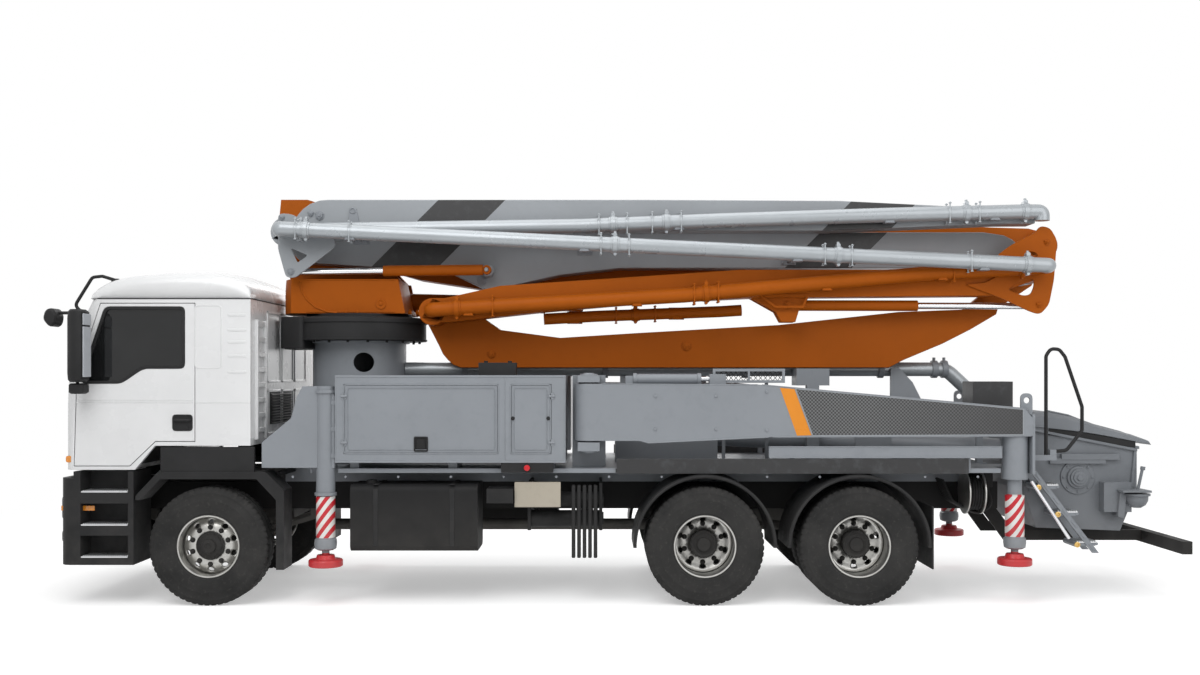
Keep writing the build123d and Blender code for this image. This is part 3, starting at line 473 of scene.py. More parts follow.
MATERIALS = {
    "white": painted("white_enamel", WHITE, (0.22, 0.36), 0.5, 0.035, zones=((cab_inside, PLASTIC),),
                     edge=0.006),
    "roof": painted("white_roof", WHITE, (0.22, 0.36), 0.5, 0.035, edge=0.01),
    "grey": painted("outrigger_grey", GREY, (0.36, 0.5), 0.1, 0.22, edge=0.005),
    # The hopper's grey is the outrigger grey darkened by 0.72: painted shade, a shaded copy of the same grey
    "hopper": painted("hopper_grey_painted_shade", shade(GREY, 0.72), (0.4, 0.6), 0.0, 0.4, edge=0.006, low_dust=0.2),
    "leg": painted("jack_bands", GREY, (0.34, 0.5), 0.15, 0.2, zones=leg_zones(), low_dust=0.25),
    "boom_4": painted("section_4_grey", LIGHT_GREY, (0.34, 0.46), 0.12, 0.15,
                      zones=((stripe_mask([(-1.86, -1.2), (2.221, 2.881)], (-0.06, 0.25)), DARK_STRIPE),)),
    "boom_5": painted("section_5_grey", LIGHT_GREY, (0.34, 0.46), 0.12, 0.15,
                      zones=((stripe_mask([(-1.773, -1.13), (2.201, 2.843)], (0.29, 0.57)), DARK_STRIPE),)),
    "orange": painted("boom_orange", ORANGE, (0.42, 0.58), 0.0, 0.2, specular=0.1, worn=(0.46, 0.15, 0.02)),
    "black": painted("chassis_black", shade(BLACK, 0.6), (0.5, 0.7), 0.0, 0.3, worn=(0.1, 0.095, 0.09),
                     low_dust=0.15, specular=0.1),
    "pipe": painted("pipe_grey", PIPE_GREY, (0.24, 0.36), 0.1, 0.18, metallic=0.3, worn=(0.5, 0.52, 0.54)),
    "plastic": moulded("black_plastic", shade(PLASTIC, 0.65)),
    "cast": painted("cast_iron", (0.055, 0.054, 0.052), (0.55, 0.75), 0.0, 0.5, low_dust=0.6),
    "chrome": bare_metal("chromed_rod", (0.72, 0.73, 0.75), (0.08, 0.2), 0.1),
    "steel": bare_metal("rim_steel", (0.46, 0.455, 0.435), (0.3, 0.48), 0.4, (0.16, 0.145, 0.13)),
    "tread_alloy": bare_metal("step_alloy", (0.62, 0.63, 0.64), (0.25, 0.42), 0.3, (0.3, 0.29, 0.28)),
    "deck": painted("deck_grey", GREY, (0.36, 0.55), 0.05, 0.3, zones=(
        (region_mask((1.194, 1.331), (3.69, 6.91), (1.149, 1.2)), BLACK),), low_dust=0.2),
    "rear": painted("rear_greys", GREY, (0.36, 0.5), 0.1, 0.22, zones=(
        (region_mask((1.784, 2.04), (7.05, 7.5)), BLACK),)),
    "flap": painted("pale_flap", (0.42, 0.38, 0.31), (0.5, 0.7), 0.0, 0.4, low_dust=0.4),
    "brass": bare_metal("brass_end", (0.62, 0.42, 0.15), (0.3, 0.5), 0.4, (0.25, 0.16, 0.07)),
    "rubber": rubber("tyre_rubber"),
    "glass": glazed("tinted_glass", (0.02, 0.021, 0.022), 0.55),
    "mirror_glass": glazed("mirror_face", (0.45, 0.47, 0.5), 0.0),
    "woven": woven("woven_film"),
    "stripe": painted("orange_stripe", (0.7, 0.24, 0.012), (0.25, 0.36), 0.3, 0.1),
    "red": painted("red_paint", RED, (0.25, 0.4), 0.3, 0.15),
    "amber": lens("amber_lens", (0.9, 0.32, 0.02)),
    "red_lens": lens("red_lens", (0.6, 0.01, 0.012)),
    "clear_lens": lens("clear_lens", (0.75, 0.77, 0.8)),
    "clear_cover": glazed("clear_cover", (0.92, 0.94, 0.95), 0.95),
}


def dress_nodes():
    """Gives every CAD node its finish."""
    by_start = (
        ("cab_roof", "roof"), ("cab_shell", "white"), ("door_", "white"), ("windscreen", "glass"),
        ("cab_interior", "plastic"), ("mirror_", "plastic"), ("bumper", "plastic"),
        ("mudguards", "plastic"), ("side_tanks", "black"), ("front_jack", "leg"), ("rear_jack", "leg"),
        ("hopper", "hopper"), ("frame_rails", "black"), ("slew_ring", "plastic"), ("rear_fittings", "rear"),
        ("deck", "deck"), ("engine_block", "cast"), ("front_axle", "cast"), ("rear_axles", "cast"),
        ("knuckle", "cast"), ("turret", "orange"), ("boom_1", "orange"), ("boom_2", "orange"),
        ("boom_3", "orange"), ("boom_4", "boom_4"), ("boom_5", "boom_5"),
        ("delivery_pipe", "pipe"), ("pump_unit", "grey"),
    )
    for name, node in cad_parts.items():
        if name.endswith("_rod"):
            look = "chrome"
        elif name.endswith("_barrel"):
            look = "orange"
        else:
            look = next((finish for start, finish in by_start if name.startswith(start)), "grey")
        node.data.materials.clear()
        node.data.materials.append(MATERIALS[look])


# ---------------------------------------------------------------- wheels
TYRE_R = (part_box("front_wheel_left")[1].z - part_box("front_wheel_left")[0].z) / 2
TYRE_WIDTH = 0.3
TWIN_GAP = 0.04
RIM_R = 0.286
TREAD_BLOCKS = 56
GROOVE_DEPTH = 0.014


def tyre(name, back, y_low, y_high, body):
    """A truck tyre: rounded sidewalls with two fine ribs, four grooves round it and notched shoulders."""
    half = (y_high - y_low) / 2
    centre = place(back, (y_low + y_high) / 2, AXLE_Z)
    crown = [(half - 0.032, 0.0), (half - 0.05, -0.001)]
    for groove in (0.105, 0.045, -0.045, -0.105):
        crown += [(groove + 0.006, 0.0), (groove + 0.004, -GROOVE_DEPTH), (groove - 0.004, -GROOVE_DEPTH),
                  (groove - 0.006, 0.0)]
    crown += [(-half + 0.05, -0.001), (-half + 0.032, 0.0)]
    wall = [(0.022, RIM_R - 0.001), (0.016, RIM_R + 0.01), (0.01, RIM_R + 0.018), (0.009, RIM_R + 0.03),
            (0.003, RIM_R + 0.055), (0.0, RIM_R + 0.095), (0.0, RIM_R + 0.128), (-0.001, RIM_R + 0.132),
            (0.001, RIM_R + 0.136), (0.003, RIM_R + 0.175), (0.006, TYRE_R - 0.058),
            (0.004, TYRE_R - 0.052), (0.008, TYRE_R - 0.04), (0.015, TYRE_R - 0.02),
            (0.024, TYRE_R - 0.008)]
    profile = [(half - drawn, radius) for drawn, radius in wall]
    profile += [(along, TYRE_R + drop) for along, drop in crown]
    profile += [(-half + drawn, radius) for drawn, radius in reversed(wall)]
    steps = TREAD_BLOCKS * 4
    form = Form()
    rings = []
    for i in range(steps):
        angle = tau * i / steps
        notch = i % 4 == 3
        ring = []
        for along, radius in profile:
            if notch and radius > TYRE_R - 0.045 and abs(along) > 0.06:
                radius -= 0.009
            ring.append(centre + Vector((radius * cos(angle), along, radius * sin(angle))))
        rings.append(ring)
    form.loft(rings + [rings[0]], caps=False, closed=False)
    bmesh.ops.remove_doubles(form.bm, verts=form.bm.verts, dist=1e-6)
    return form.piece(name, "rubber", body, sharp=28)


def disc_with_holes(form, centre, side, profile, holes, hole_circle, hole_size):
    """A dished disc with a ring of round hand holes; profile gives the outward place for a radius."""
    inner, outer = profile[0][0], profile[-1][0]

    def outward(radius):
        for (r0, o0), (r1, o1) in zip(profile, profile[1:]):
            if radius <= r1:
                return o0 + (o1 - o0) * (radius - r0) / (r1 - r0)
        return profile[-1][1]

    sector = tau / holes
    count = 24
    for index in range(holes):
        middle_angle = sector * (index + 0.5)
        rings = []
        for share in (0.0, 0.3, 1.0):
            ring = []
            for k in range(count):
                phi = tau * k / count
                c, s = cos(phi), sin(phi)
                stretch = 1 / max(abs(c), abs(s))
                reach = outer - hole_circle if c > 0 else hole_circle - inner
                edge_r = hole_circle + c * stretch * reach
                edge_a = middle_angle + s * stretch * sector / 2
                hole_r = hole_circle + c * hole_size[0]
                hole_a = middle_angle + s * hole_size[1] / hole_circle
                radius = hole_r * (1 - share) + edge_r * share
                angle = hole_a * (1 - share) + edge_a * share
                y = centre.y + side * outward(radius)
                ring.append(Vector((centre.x + radius * cos(angle), y, centre.z + radius * sin(angle))))
            rings.append(ring)
        form.loft(rings, caps=False)
    bmesh.ops.remove_doubles(form.bm, verts=form.bm.verts, dist=1e-4)


def wheel(name, back, side, low, high, disc, body, dished):
    """One rim with its lips and hand-holed disc; low and high are the tyre's sides."""
    centre = place(back, 0, AXLE_Z)
    lip = 0.022
    barrel = Form()
    rim_line = [(high - lip, RIM_R), (high - lip + 0.006, RIM_R - 0.004),
                (high - lip + 0.004, RIM_R - 0.016), (high - lip - 0.012, RIM_R - 0.021),
                (high - 0.075, RIM_R - 0.026), (high - 0.115, RIM_R - 0.02), (low + 0.06, RIM_R - 0.014),
                (low + lip, RIM_R - 0.01), (low + lip, RIM_R)]
    barrel.turned([(side * along, radius) for along, radius in rim_line], centre, sides=72)
    barrel.piece(f"{name}_barrel", "steel", body, sharp=40)
    plate = Form()
    disc_with_holes(plate, Vector((centre.x, side * disc, centre.z)), side, dished,
                    10, 0.216, (0.02, 0.026))
    disc_piece = plate.piece(f"{name}_disc", "steel", body, sharp=60)
    thick = disc_piece.modifiers.new("plate", "SOLIDIFY")
    thick.thickness, thick.offset = 0.012, 0.0


def nut_ring(name, back, side, y, circle, body):
    """Wheel nuts with their washers and stud ends."""
    count = 10
    form = Form()
    axis = Vector((0, side, 0))
    for i in range(count):
        angle = tau * (i + 0.5) / count
        foot = place(back, side * y, AXLE_Z) + Vector((circle * cos(angle), 0, circle * sin(angle)))
        form.bar(foot, foot + axis * 0.006, 0.024, 16)
        form.bar(foot + axis * 0.006, foot + axis * 0.026, 0.0185, 6, 0.0165)
        form.bar(foot + axis * 0.026, foot + axis * 0.038, 0.0105, 12)
    form.piece(name, "black", body, bevel=0.0015)


def hub(name, back, side, y, profile, body, bolts):
    """A hub turned from (outward, radius) steps, with a ring of small bolts."""
    form = Form()
    centre = place(back, side * y, AXLE_Z)
    form.turned([(side * along, radius) for along, radius in profile], centre, sides=48)
    count, circle, out = bolts
    for i in range(count):
        angle = tau * i / count
        foot = centre + Vector((circle * cos(angle), side * out, circle * sin(angle)))
        form.bar(foot, foot + Vector((0, side * 0.012, 0)), 0.011, 6)
    form.piece(name, "black", body, bevel=0.001)


FRONT_DISC = 1.132
DUAL_DISC = 0.92
FLAT_DISH = [(0.095, 0.016), (0.15, 0.018), (0.185, 0.016), (0.205, 0.004), (0.24, -0.024), (0.268, -0.04)]
DEEP_DISH = [(0.105, 0.02), (0.16, 0.02), (0.19, 0.016), (0.205, 0.022), (0.24, 0.04), (0.268, 0.052)]


def wheels():
    """Front single wheels and the two driven axles' twin wheels."""
    for name, side in SIDES:
        body = f"front_wheel_{name}"
        low, high = HALF_WIDTH - TYRE_WIDTH, HALF_WIDTH
        front = tyre(f"{body}_tyre", 0.0, *span(side, low, high), body)
        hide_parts(body)
        wheel(f"{body}_rim", 0.0, side, low, high, FRONT_DISC, body, FLAT_DISH)
        nut_ring(f"{body}_nuts", 0.0, side, FRONT_DISC + 0.023, 0.168, body)
        cap = [(-0.16, 0.0), (-0.16, 0.11), (-0.02, 0.118), (0.0, 0.128), (0.03, 0.128), (0.034, 0.112),
               (0.05, 0.1), (0.062, 0.07), (0.086, 0.062), (0.092, 0.05), (0.092, 0.03),
               (0.085, 0.026), (0.085, 0.0)]
        hub(f"{body}_hub", 0.0, side, FRONT_DISC + 0.005, cap, body, (10, 0.107, 0.036))
        for axle, back in DUAL_BACKS.items():
            body = f"{axle}_wheels_{name}"
            outer = tyre(f"{body}_outer_tyre", back, *span(side, low, high), body)
            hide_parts(body)
            inner_high = low - TWIN_GAP
            tyre(f"{body}_inner_tyre", back, *span(side, inner_high - TYRE_WIDTH, inner_high), body)
            wheel(f"{body}_rim", back, side, low, high, DUAL_DISC, body, DEEP_DISH)
            nut_ring(f"{body}_nuts", back, side, DUAL_DISC + 0.026, 0.178, body)
            cap = [(-0.25, 0.0), (-0.25, 0.14), (0.0, 0.14), (0.02, 0.134), (0.024, 0.122), (0.12, 0.118),
                   (0.126, 0.126), (0.15, 0.126), (0.156, 0.11), (0.15, 0.094), (0.16, 0.07), (0.176, 0.06),
                   (0.18, 0.03), (0.176, 0.0)]
            hub(f"{body}_hub", back, side, DUAL_DISC, cap, body, (14, 0.118, 0.148))


# ---------------------------------------------------------------- shared dimensions of the cab and body
CAB_HALF = HALF_WIDTH - 0.01
CAB_BACK = 0.385
DOOR_WINDOW = [(-1.15, 2.014), (-0.784, 2.014), (-0.585, 2.149), (-0.208, 2.149), (-0.208, 2.712),
               (-0.935, 2.712), (-1.135, 2.12)]
WINDOW_CORNER = 0.05
SCREEN_HALF = CAB_HALF - 0.13
BOX_SIDE = HALF_WIDTH


def nose(z, proud):
    """How far back the cab's front skin lies at a height; proud stands out in front of it."""
    reach = ((NOSE_RADIUS + proud) ** 2 - max(z - NOSE_FOOT, 0.0) ** 2) ** 0.5
    return NOSE_RADIUS - NOSE_FRONT - reach


def inset(outline, amount):
    """A closed flat outline drawn in by an amount."""
    points = [Vector(point) for point in outline]
    area = sum(a.x * b.y - b.x * a.y for a, b in zip(points, points[1:] + points[:1]))
    sign = 1 if area > 0 else -1
    drawn = []
    for i, point in enumerate(points):
        into = (point - points[i - 1]).normalized()
        out = (points[(i + 1) % len(points)] - point).normalized()
        side_in, side_out = Vector((-into.y, into.x)) * sign, Vector((-out.y, out.x)) * sign
        share = (side_in + side_out).normalized()
        drawn.append(tuple(point + share * amount / max(share.dot(side_in), 0.35)))
    return drawn


def scaled(outline, centre, amount):
    """A flat outline grown or shrunk about a centre."""
    about = Vector(centre)
    return [tuple(about + (Vector(point) - about) * amount) for point in outline]


def flat_frame(form, outline, width, lane):
    """A flat frame of even width that follows a side-view outline."""
    inner = inset(outline, width)
    loops = [(outline, lane[0]), (outline, lane[1]), (inner, lane[1]), (inner, lane[0]), (outline, lane[0])]
    form.loft([[place(back, y, z) for back, z in loop] for loop, y in loops], caps=False)
    bmesh.ops.remove_doubles(form.bm, verts=form.bm.verts, dist=1e-6)
    return form


def rectangle(backs, zs):
    return [(backs[0], zs[0]), (backs[1], zs[0]), (backs[1], zs[1]), (backs[0], zs[1])]


def carved(form, cutters):
    """The form with the cutting forms taken out of it."""
    whole = form.as_object("whole")
    tools = [cutter.as_object(f"cutter_{index}") for index, cutter in enumerate(cutters)]
    for tool in tools:
        cut = whole.modifiers.new("cut", "BOOLEAN")
        cut.operation, cut.solver, cut.object = "DIFFERENCE", "EXACT", tool
    graph = bpy.context.evaluated_depsgraph_get()
    mesh = bpy.data.meshes.new_from_object(whole.evaluated_get(graph))
    result = Form()
    result.bm.from_mesh(mesh)
    for thing in [whole] + tools:
        bpy.data.objects.remove(thing, do_unlink=True)
    return result


# ---------------------------------------------------------------- the cab's own skin
ROOF_SEAM = 2.784
CAB_WALL = 0.045
DOOR_OPENING = [(-1.215, 1.265), (-0.705, 1.265), (-0.475, 1.487), (-0.115, 1.487), (-0.115, 2.745),
                (-0.975, 2.745), (-1.19, 2.105)]
DOOR = [(-1.209, 1.271), (-0.708, 1.271), (-0.478, 1.493), (-0.121, 1.493), (-0.121, 2.739),
        (-0.971, 2.739), (-1.184, 2.104)]


def cab_ring(z, drawn_in):
    """The cab's plan at a height: square at the back, with rounded front corners."""
    half, rear, front = CAB_HALF - drawn_in, CAB_BACK - drawn_in, nose(z, -drawn_in)
    corner = max(0.085 - drawn_in, 0.02)
    points = [(rear, -half)]
    for side in (-1, 1):
        for k in range(7):
            turn = tau / 4 * (k if side < 0 else 6 - k) / 6
            points.append((front + corner - corner * sin(turn),
                           side * (half - corner + corner * cos(turn))))
    points.append((rear, half))
    return [place(back, y, z) for back, y in points]


def cab_shell():
    """The shell: curved front leaning back, rounded corners, door openings, windscreen and grille recess."""
    heights = [1.234, 1.5] + [NOSE_FOOT + (ROOF_SEAM - NOSE_FOOT) * k / 8 for k in range(9)]
    rings = [cab_ring(z, 0) for z in heights] + [cab_ring(z, CAB_WALL) for z in heights[::-1]]
    walls = Form().loft(rings + rings[:1], caps=False)
    bmesh.ops.remove_doubles(walls.bm, verts=walls.bm.verts, dist=1e-6)
    screen = rounded_outline([(-SCREEN_HALF, 2.16), (SCREEN_HALF, 2.16), (SCREEN_HALF, 2.74),
                              (-SCREEN_HALF, 2.74)], 0.07)
    cutters = [
        Form().prism(DOOR_OPENING, (-1.3, 1.3)),
        Form().loft([[place(back, y, z) for y, z in screen] for back in (-1.45, -0.98)]),
        Form().prism([(-0.69, 1.2), (-0.48, 1.452), (0.5, 1.452), (0.5, 1.2)], (-1.3, 1.3)),
        Form().box((-1.3, -1.272), (-0.62, 0.62), (1.43, 1.88)),
    ]
    shell = carved(walls, cutters)
    floor = [(-1.25, 1.234), (-0.69, 1.234), (-0.48, 1.452), (0.34, 1.452), (0.34, 1.49), (-0.5, 1.49),
             (-0.71, 1.275), (-1.25, 1.275)]
    shell.prism(floor, (-CAB_HALF + CAB_WALL, CAB_HALF - CAB_WALL))
    ear = [(-1.215, 0.87), (-1.14, 0.87), (-0.85, 1.13), (-0.85, 1.239), (-0.98, 1.239),
           (-0.98, 1.14), (-1.215, 0.94)]
    for side in (1, -1):
        shell.prism(ear, span(side, 0.436, 0.466))
    made = shell.piece("cab_skin", "white", "cab", bevel=0.003, sharp=30)
    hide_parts("cab_shell")
    pane = Form()
    heights = [2.15 + 0.6 * k / 8 for k in range(9)]
    pane.loft([[place(nose(z, proud), y, z)
                for z, proud in [(z, -0.016) for z in heights] + [(z, -0.022) for z in heights[::-1]]]
               for y in (-SCREEN_HALF - 0.006, SCREEN_HALF + 0.006)])
    screen_pane = pane.piece("curved_windscreen", "glass", "cab")
    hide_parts("windscreen")
    slats = Form()
    for index in range(6):
        low = 1.455 + index * 0.072
        slats.prism([(-1.292, low + 0.006), (-1.274, low - 0.008), (-1.274, low + 0.03),
                     (-1.29, low + 0.024)], (-0.6, 0.6))
    slats.piece("grille_slats", "plastic", "cab", bevel=0.002)


# back, height over the seam at the middle
ROOF_LINE = [(-1.06, 0.002), (-1.045, 0.05), (-1.01, 0.105), (-0.95, 0.16), (-0.86, 0.212), (-0.74, 0.255),
             (-0.6, 0.284), (-0.43, 0.305), (-0.25, 0.311), (-0.08, 0.302), (0.07, 0.276), (0.18, 0.238),
             (0.26, 0.198), (0.32, 0.155), (0.36, 0.11), (0.38, 0.06), (0.385, 0.002)]
ROOF_RISE = max(height for _, height in ROOF_LINE)


def cab_roof():
    """The high roof: arched lengthwise, slightly crowned across, with rounded sides."""
    rings = []
    half = CAB_HALF
    for back, height in ROOF_LINE:
        edge = height * (1 - 0.26 * height / ROOF_RISE)
        radius = min(0.09, edge * 0.75)
        points = [(-half, ROOF_SEAM), (-half, ROOF_SEAM + edge - radius)]
        for k in range(1, 7):
            turn = tau / 4 * k / 6
            points.append((-half + radius - radius * cos(turn),
                           ROOF_SEAM + edge - radius + radius * sin(turn)))
        for k in range(1, 12):
            y = (-half + radius) * (1 - k / 6)
            crown = edge + (height - edge) * (1 - (y / (half - radius)) ** 2)
            points.append((y, ROOF_SEAM + crown))
        points += [(-y, z) for y, z in points[:8][::-1]]
        rings.append([place(back, y, z) for y, z in points])
    form = Form().loft(rings, caps=False, closed=False)
    made = form.piece("cab_roof_skin", "roof", "cab", sharp=50)
    shell = made.modifiers.new("sheet", "SOLIDIFY")
    shell.thickness, shell.offset = 0.03, -1
    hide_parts("cab_roof")
    seam = Form()
    path = cab_ring(ROOF_SEAM, -0.001)
    seam.pipe(path + path[:2], 0.005, 0.01, 6)
    seam.piece("roof_seam", "plastic", "cab")


def front_mirror():
    """A bent tube from the roof that carries a leaf-shaped mirror head over the front."""
    arm = Form()
    bends = ((-0.87, 1.115, 2.955), (-1.0, 1.118, 2.995), (-1.09, 1.12, 2.985), (-1.25, 1.12, 2.726),
             (-1.18, 1.115, 2.66), (-1.4, 1.115, 2.66))
    arm.pipe([place(*bend) for bend in bends], 0.015, 0.05, 14)
    arm.turned([(-0.012, 0.0), (-0.012, 0.04), (0.014, 0.034), (0.014, 0.0)],
               place(-0.88, 1.115, 2.958), "Z", 20)
    arm.piece("front_mirror_arm", "plastic", "cab")
    head = Form()
    leaf = rounded_outline([(-1.515, 2.6), (-1.49, 2.69), (-1.42, 2.705), (-1.385, 2.64),
                            (-1.4, 2.55), (-1.45, 2.525)], 0.035)
    head.loft([[place(back, y, z) for back, z in scaled(leaf, (-1.45, 2.615), grow)]
               for y, grow in ((1.02, 0.8), (1.035, 1.0), (1.185, 1.0), (1.205, 0.75))])
    head.piece("front_mirror_head", "plastic", "cab", bevel=0.005)


def doors():
    """Door panels with rounded windows, and their panes."""
    for name, side in SIDES:
        panel = Form().prism(DOOR, span(side, CAB_HALF - CAB_WALL, CAB_HALF))
        window = Form().prism(rounded_outline(DOOR_WINDOW, WINDOW_CORNER), (-1.4, 1.4))
        made = carved(panel, [window]).piece(f"door_panel_{name}", "white", f"door_{name}", bevel=0.004)
        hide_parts(f"door_{name}")
        pane = Form().prism(rounded_outline(DOOR_WINDOW, WINDOW_CORNER), skin(side, CAB_HALF, 0.026, -0.02))
        pane.piece(f"door_glass_{name}", "glass", f"door_{name}")


CAB_BODY = (cab_shell, cab_roof, front_mirror, doors)


# ---------------------------------------------------------------- cab
def cab_glazing():
    """Rubber round the windows, wipers and the blank pressed window behind each door."""
    form = Form()
    path = [place(nose(z, 0.004), y, z) for y, heights in ((-SCREEN_HALF, (2.165, 2.31, 2.45, 2.6, 2.735)),
                                                           (SCREEN_HALF, (2.735, 2.6, 2.45, 2.31, 2.165)))
            for z in heights]
    form.pipe(path + path[:2], 0.014, 0.05, 8)
    form.piece("windscreen_rubber", "plastic", "cab")
    for name, side in SIDES:
        form = Form()
        flat_frame(form, rounded_outline(DOOR_WINDOW, WINDOW_CORNER), 0.026,
                   skin(side, CAB_HALF, 0.024, 0.003))
        form.piece(f"window_rubber_{name}", "plastic", f"door_{name}", bevel=0.002)
        form = Form()
        pane = rounded_outline(rectangle((-0.122, 0.128), (2.149, 2.728)), 0.045)
        flat_frame(form, pane, 0.012, skin(side, CAB_HALF, 0.002, 0.003))
        for z in (2.637, 2.502, 2.393, 2.267, 2.122):
            rib = rounded_outline(rectangle((0.18, 0.345), (z - 0.012, z + 0.012)), 0.011)
            form.prism(rib, skin(side, CAB_HALF, 0.002, 0.004))
        form.piece(f"rear_pressing_{name}", "white", "cab", bevel=0.0015)
    form = Form()
    for y, lean in ((0.62, -0.78), (-0.05, -0.78)):
        pivot = place(nose(2.12, 0.03), y, 2.12)
        elbow = place(nose(2.22, 0.034), y + lean * 0.5, 2.25)
        form.turned([(0, 0.0), (0, 0.026), (0.03, 0.02), (0.03, 0.0)], pivot - Vector((0.02, 0, 0)), "X",
                    20)
        form.bar(pivot, elbow, 0.009, 8, 0.006)
        blade = [place(nose(z, 0.02), y + lean * (0.12 + share), z)
                 for share, z in ((0.0, 2.205), (0.25, 2.235), (0.5, 2.262), (0.75, 2.285))]
        form.pipe(blade, 0.007, 0.2, 6)
        form.bar(elbow, (blade[1] + blade[2]) / 2, 0.006, 8)
    form.piece("wipers", "plastic", "cab")


def cab_doors():
    """Handle in its dish, lock and pressed creases of each door, and the indicator ahead of it."""
    for name, side in SIDES:
        body = f"door_{name}"
        lane = skin(side, CAB_HALF, 0.001, 0.003)
        form = Form()
        dish = rounded_outline(rectangle((-0.322, -0.137), (1.585, 1.735)), 0.035)
        flat_frame(form, dish, 0.014, skin(side, CAB_HALF, 0.001, 0.006))
        form.prism(inset(dish, 0.013), lane)
        form.piece(f"handle_dish_{name}", "plastic", body, bevel=0.003)
        form = Form()
        grip = [place(back, side * (CAB_HALF + out), 1.685)
                for back, out in ((-0.3, 0.004), (-0.29, 0.028), (-0.17, 0.028), (-0.158, 0.004))]
        form.pipe(grip, 0.013, 0.02, 12)
        form.turned([(0.0, 0.0), (0.0, 0.014), (side * 0.008, 0.012), (side * 0.008, 0.0)],
                    place(-0.185, side * (CAB_HALF + 0.002), 1.612), "Y", 20)
        form.piece(f"handle_{name}", "plastic", body)
        form = Form()
        for start, end, z in ((-1.195, -0.135, 1.842), (-1.19, -0.135, 1.862)):
            form.prism([(start, z - 0.004), (end, z - 0.004), (end, z + 0.004), (start, z + 0.004)],
                       skin(side, CAB_HALF, 0.001, 0.002))
        form.piece(f"door_crease_{name}", "white", body, bevel=0.0018)
        form = Form()
        form.prism([(-0.108, 1.838), (0.38, 1.838), (0.38, 1.846), (-0.108, 1.846)],
                   skin(side, CAB_HALF, 0.001, 0.002))
        form.piece(f"rear_crease_{name}", "white", "cab", bevel=0.0018)
        # Side indicator ahead of the door
        form = Form()
        form.prism(rounded_outline(rectangle((-1.29, -1.232), (1.3, 1.36)), 0.02),
                   skin(side, CAB_HALF, 0.02, -0.006))
        form.piece(f"side_indicator_{name}", "amber", "cab", bevel=0.004)


def cab_front():
    """Grille mesh, bonnet seam, grab handles and the two lamps on the roof's edge."""
    form = Form()
    for index in range(25):
        y = -0.585 + index * 0.04875
        form.box((-1.286, -1.281), (y - 0.004, y + 0.004), (1.435, 1.875))
    form.piece("grille_bars", "plastic", "cab")
    form = Form()
    for low, high in ((1.9, 1.906), (1.414, 1.42)):
        form.box((-1.2965, -1.29), (-1.1, 1.1), (low, high))
    for y in (-1.1, 1.1):
        form.box((-1.2965, -1.29), (y - 0.003, y + 0.003), (1.42, 1.9))
    form.piece("front_flap_seam", "black", "cab")
    form = Form()
    for side in (1, -1):
        path = [place(nose(z, out), side * 0.86, z)
                for z, out in ((1.96, 0.0), (1.962, 0.04), (2.095, 0.04), (2.097, 0.0))]
        form.pipe(path, 0.011, 0.02, 12)
    form.piece("front_grab_handles", "plastic", "cab")
    for name, side in SIDES:
        form = Form()
        form.prism(rounded_outline([(-1.06, 2.795), (-1.01, 2.845), (-0.985, 2.85), (-0.985, 2.8)],
                                   0.012), span(side, 1.02, 1.13))
        form.piece(f"roof_lamp_{name}", "clear_lens", "cab", bevel=0.006)


def cab_rear():
    """Panel frames, a ribbed channel and a louvred grille on the back wall."""
    form = Form()
    wall = CAB_BACK
    for low, high in ((-0.32, 0.13), (0.17, 0.67), (-0.86, -0.38)):
        for zs in ((2.02, 2.7), (1.52, 1.95)):
            for ys, heights in (((low, high), (zs[0], zs[0] + 0.022)),
                                ((low, high), (zs[1] - 0.022, zs[1])), ((low, low + 0.022), zs),
                                ((high - 0.022, high), zs)):
                form.box((wall - 0.001, wall + 0.009), ys, heights)
    form.piece("rear_wall_frames", "white", "cab", bevel=0.003)
    form = Form()
    for ys in ((0.77, 0.8), (1.06, 1.09)):
        form.box((wall - 0.001, wall + 0.03), ys, (1.5, 2.6))
    for index in range(8):
        z = 1.56 + index * 0.14
        form.box((wall + 0.004, wall + 0.022), (0.8, 1.06), (z, z + 0.045))
    form.piece("rear_wall_channel", "white", "cab", bevel=0.003)
    form = Form()
    form.box((wall - 0.001, wall + 0.006), (-0.24, 0.57), (1.62, 1.93))
    for index in range(11):
        z = 1.635 + index * 0.027
        form.prism([(wall + 0.006, z), (wall + 0.024, z - 0.008), (wall + 0.024, z - 0.004),
                    (wall + 0.006, z + 0.006)], (-0.23, 0.56))
    form.piece("rear_wall_grille", "plastic", "cab")


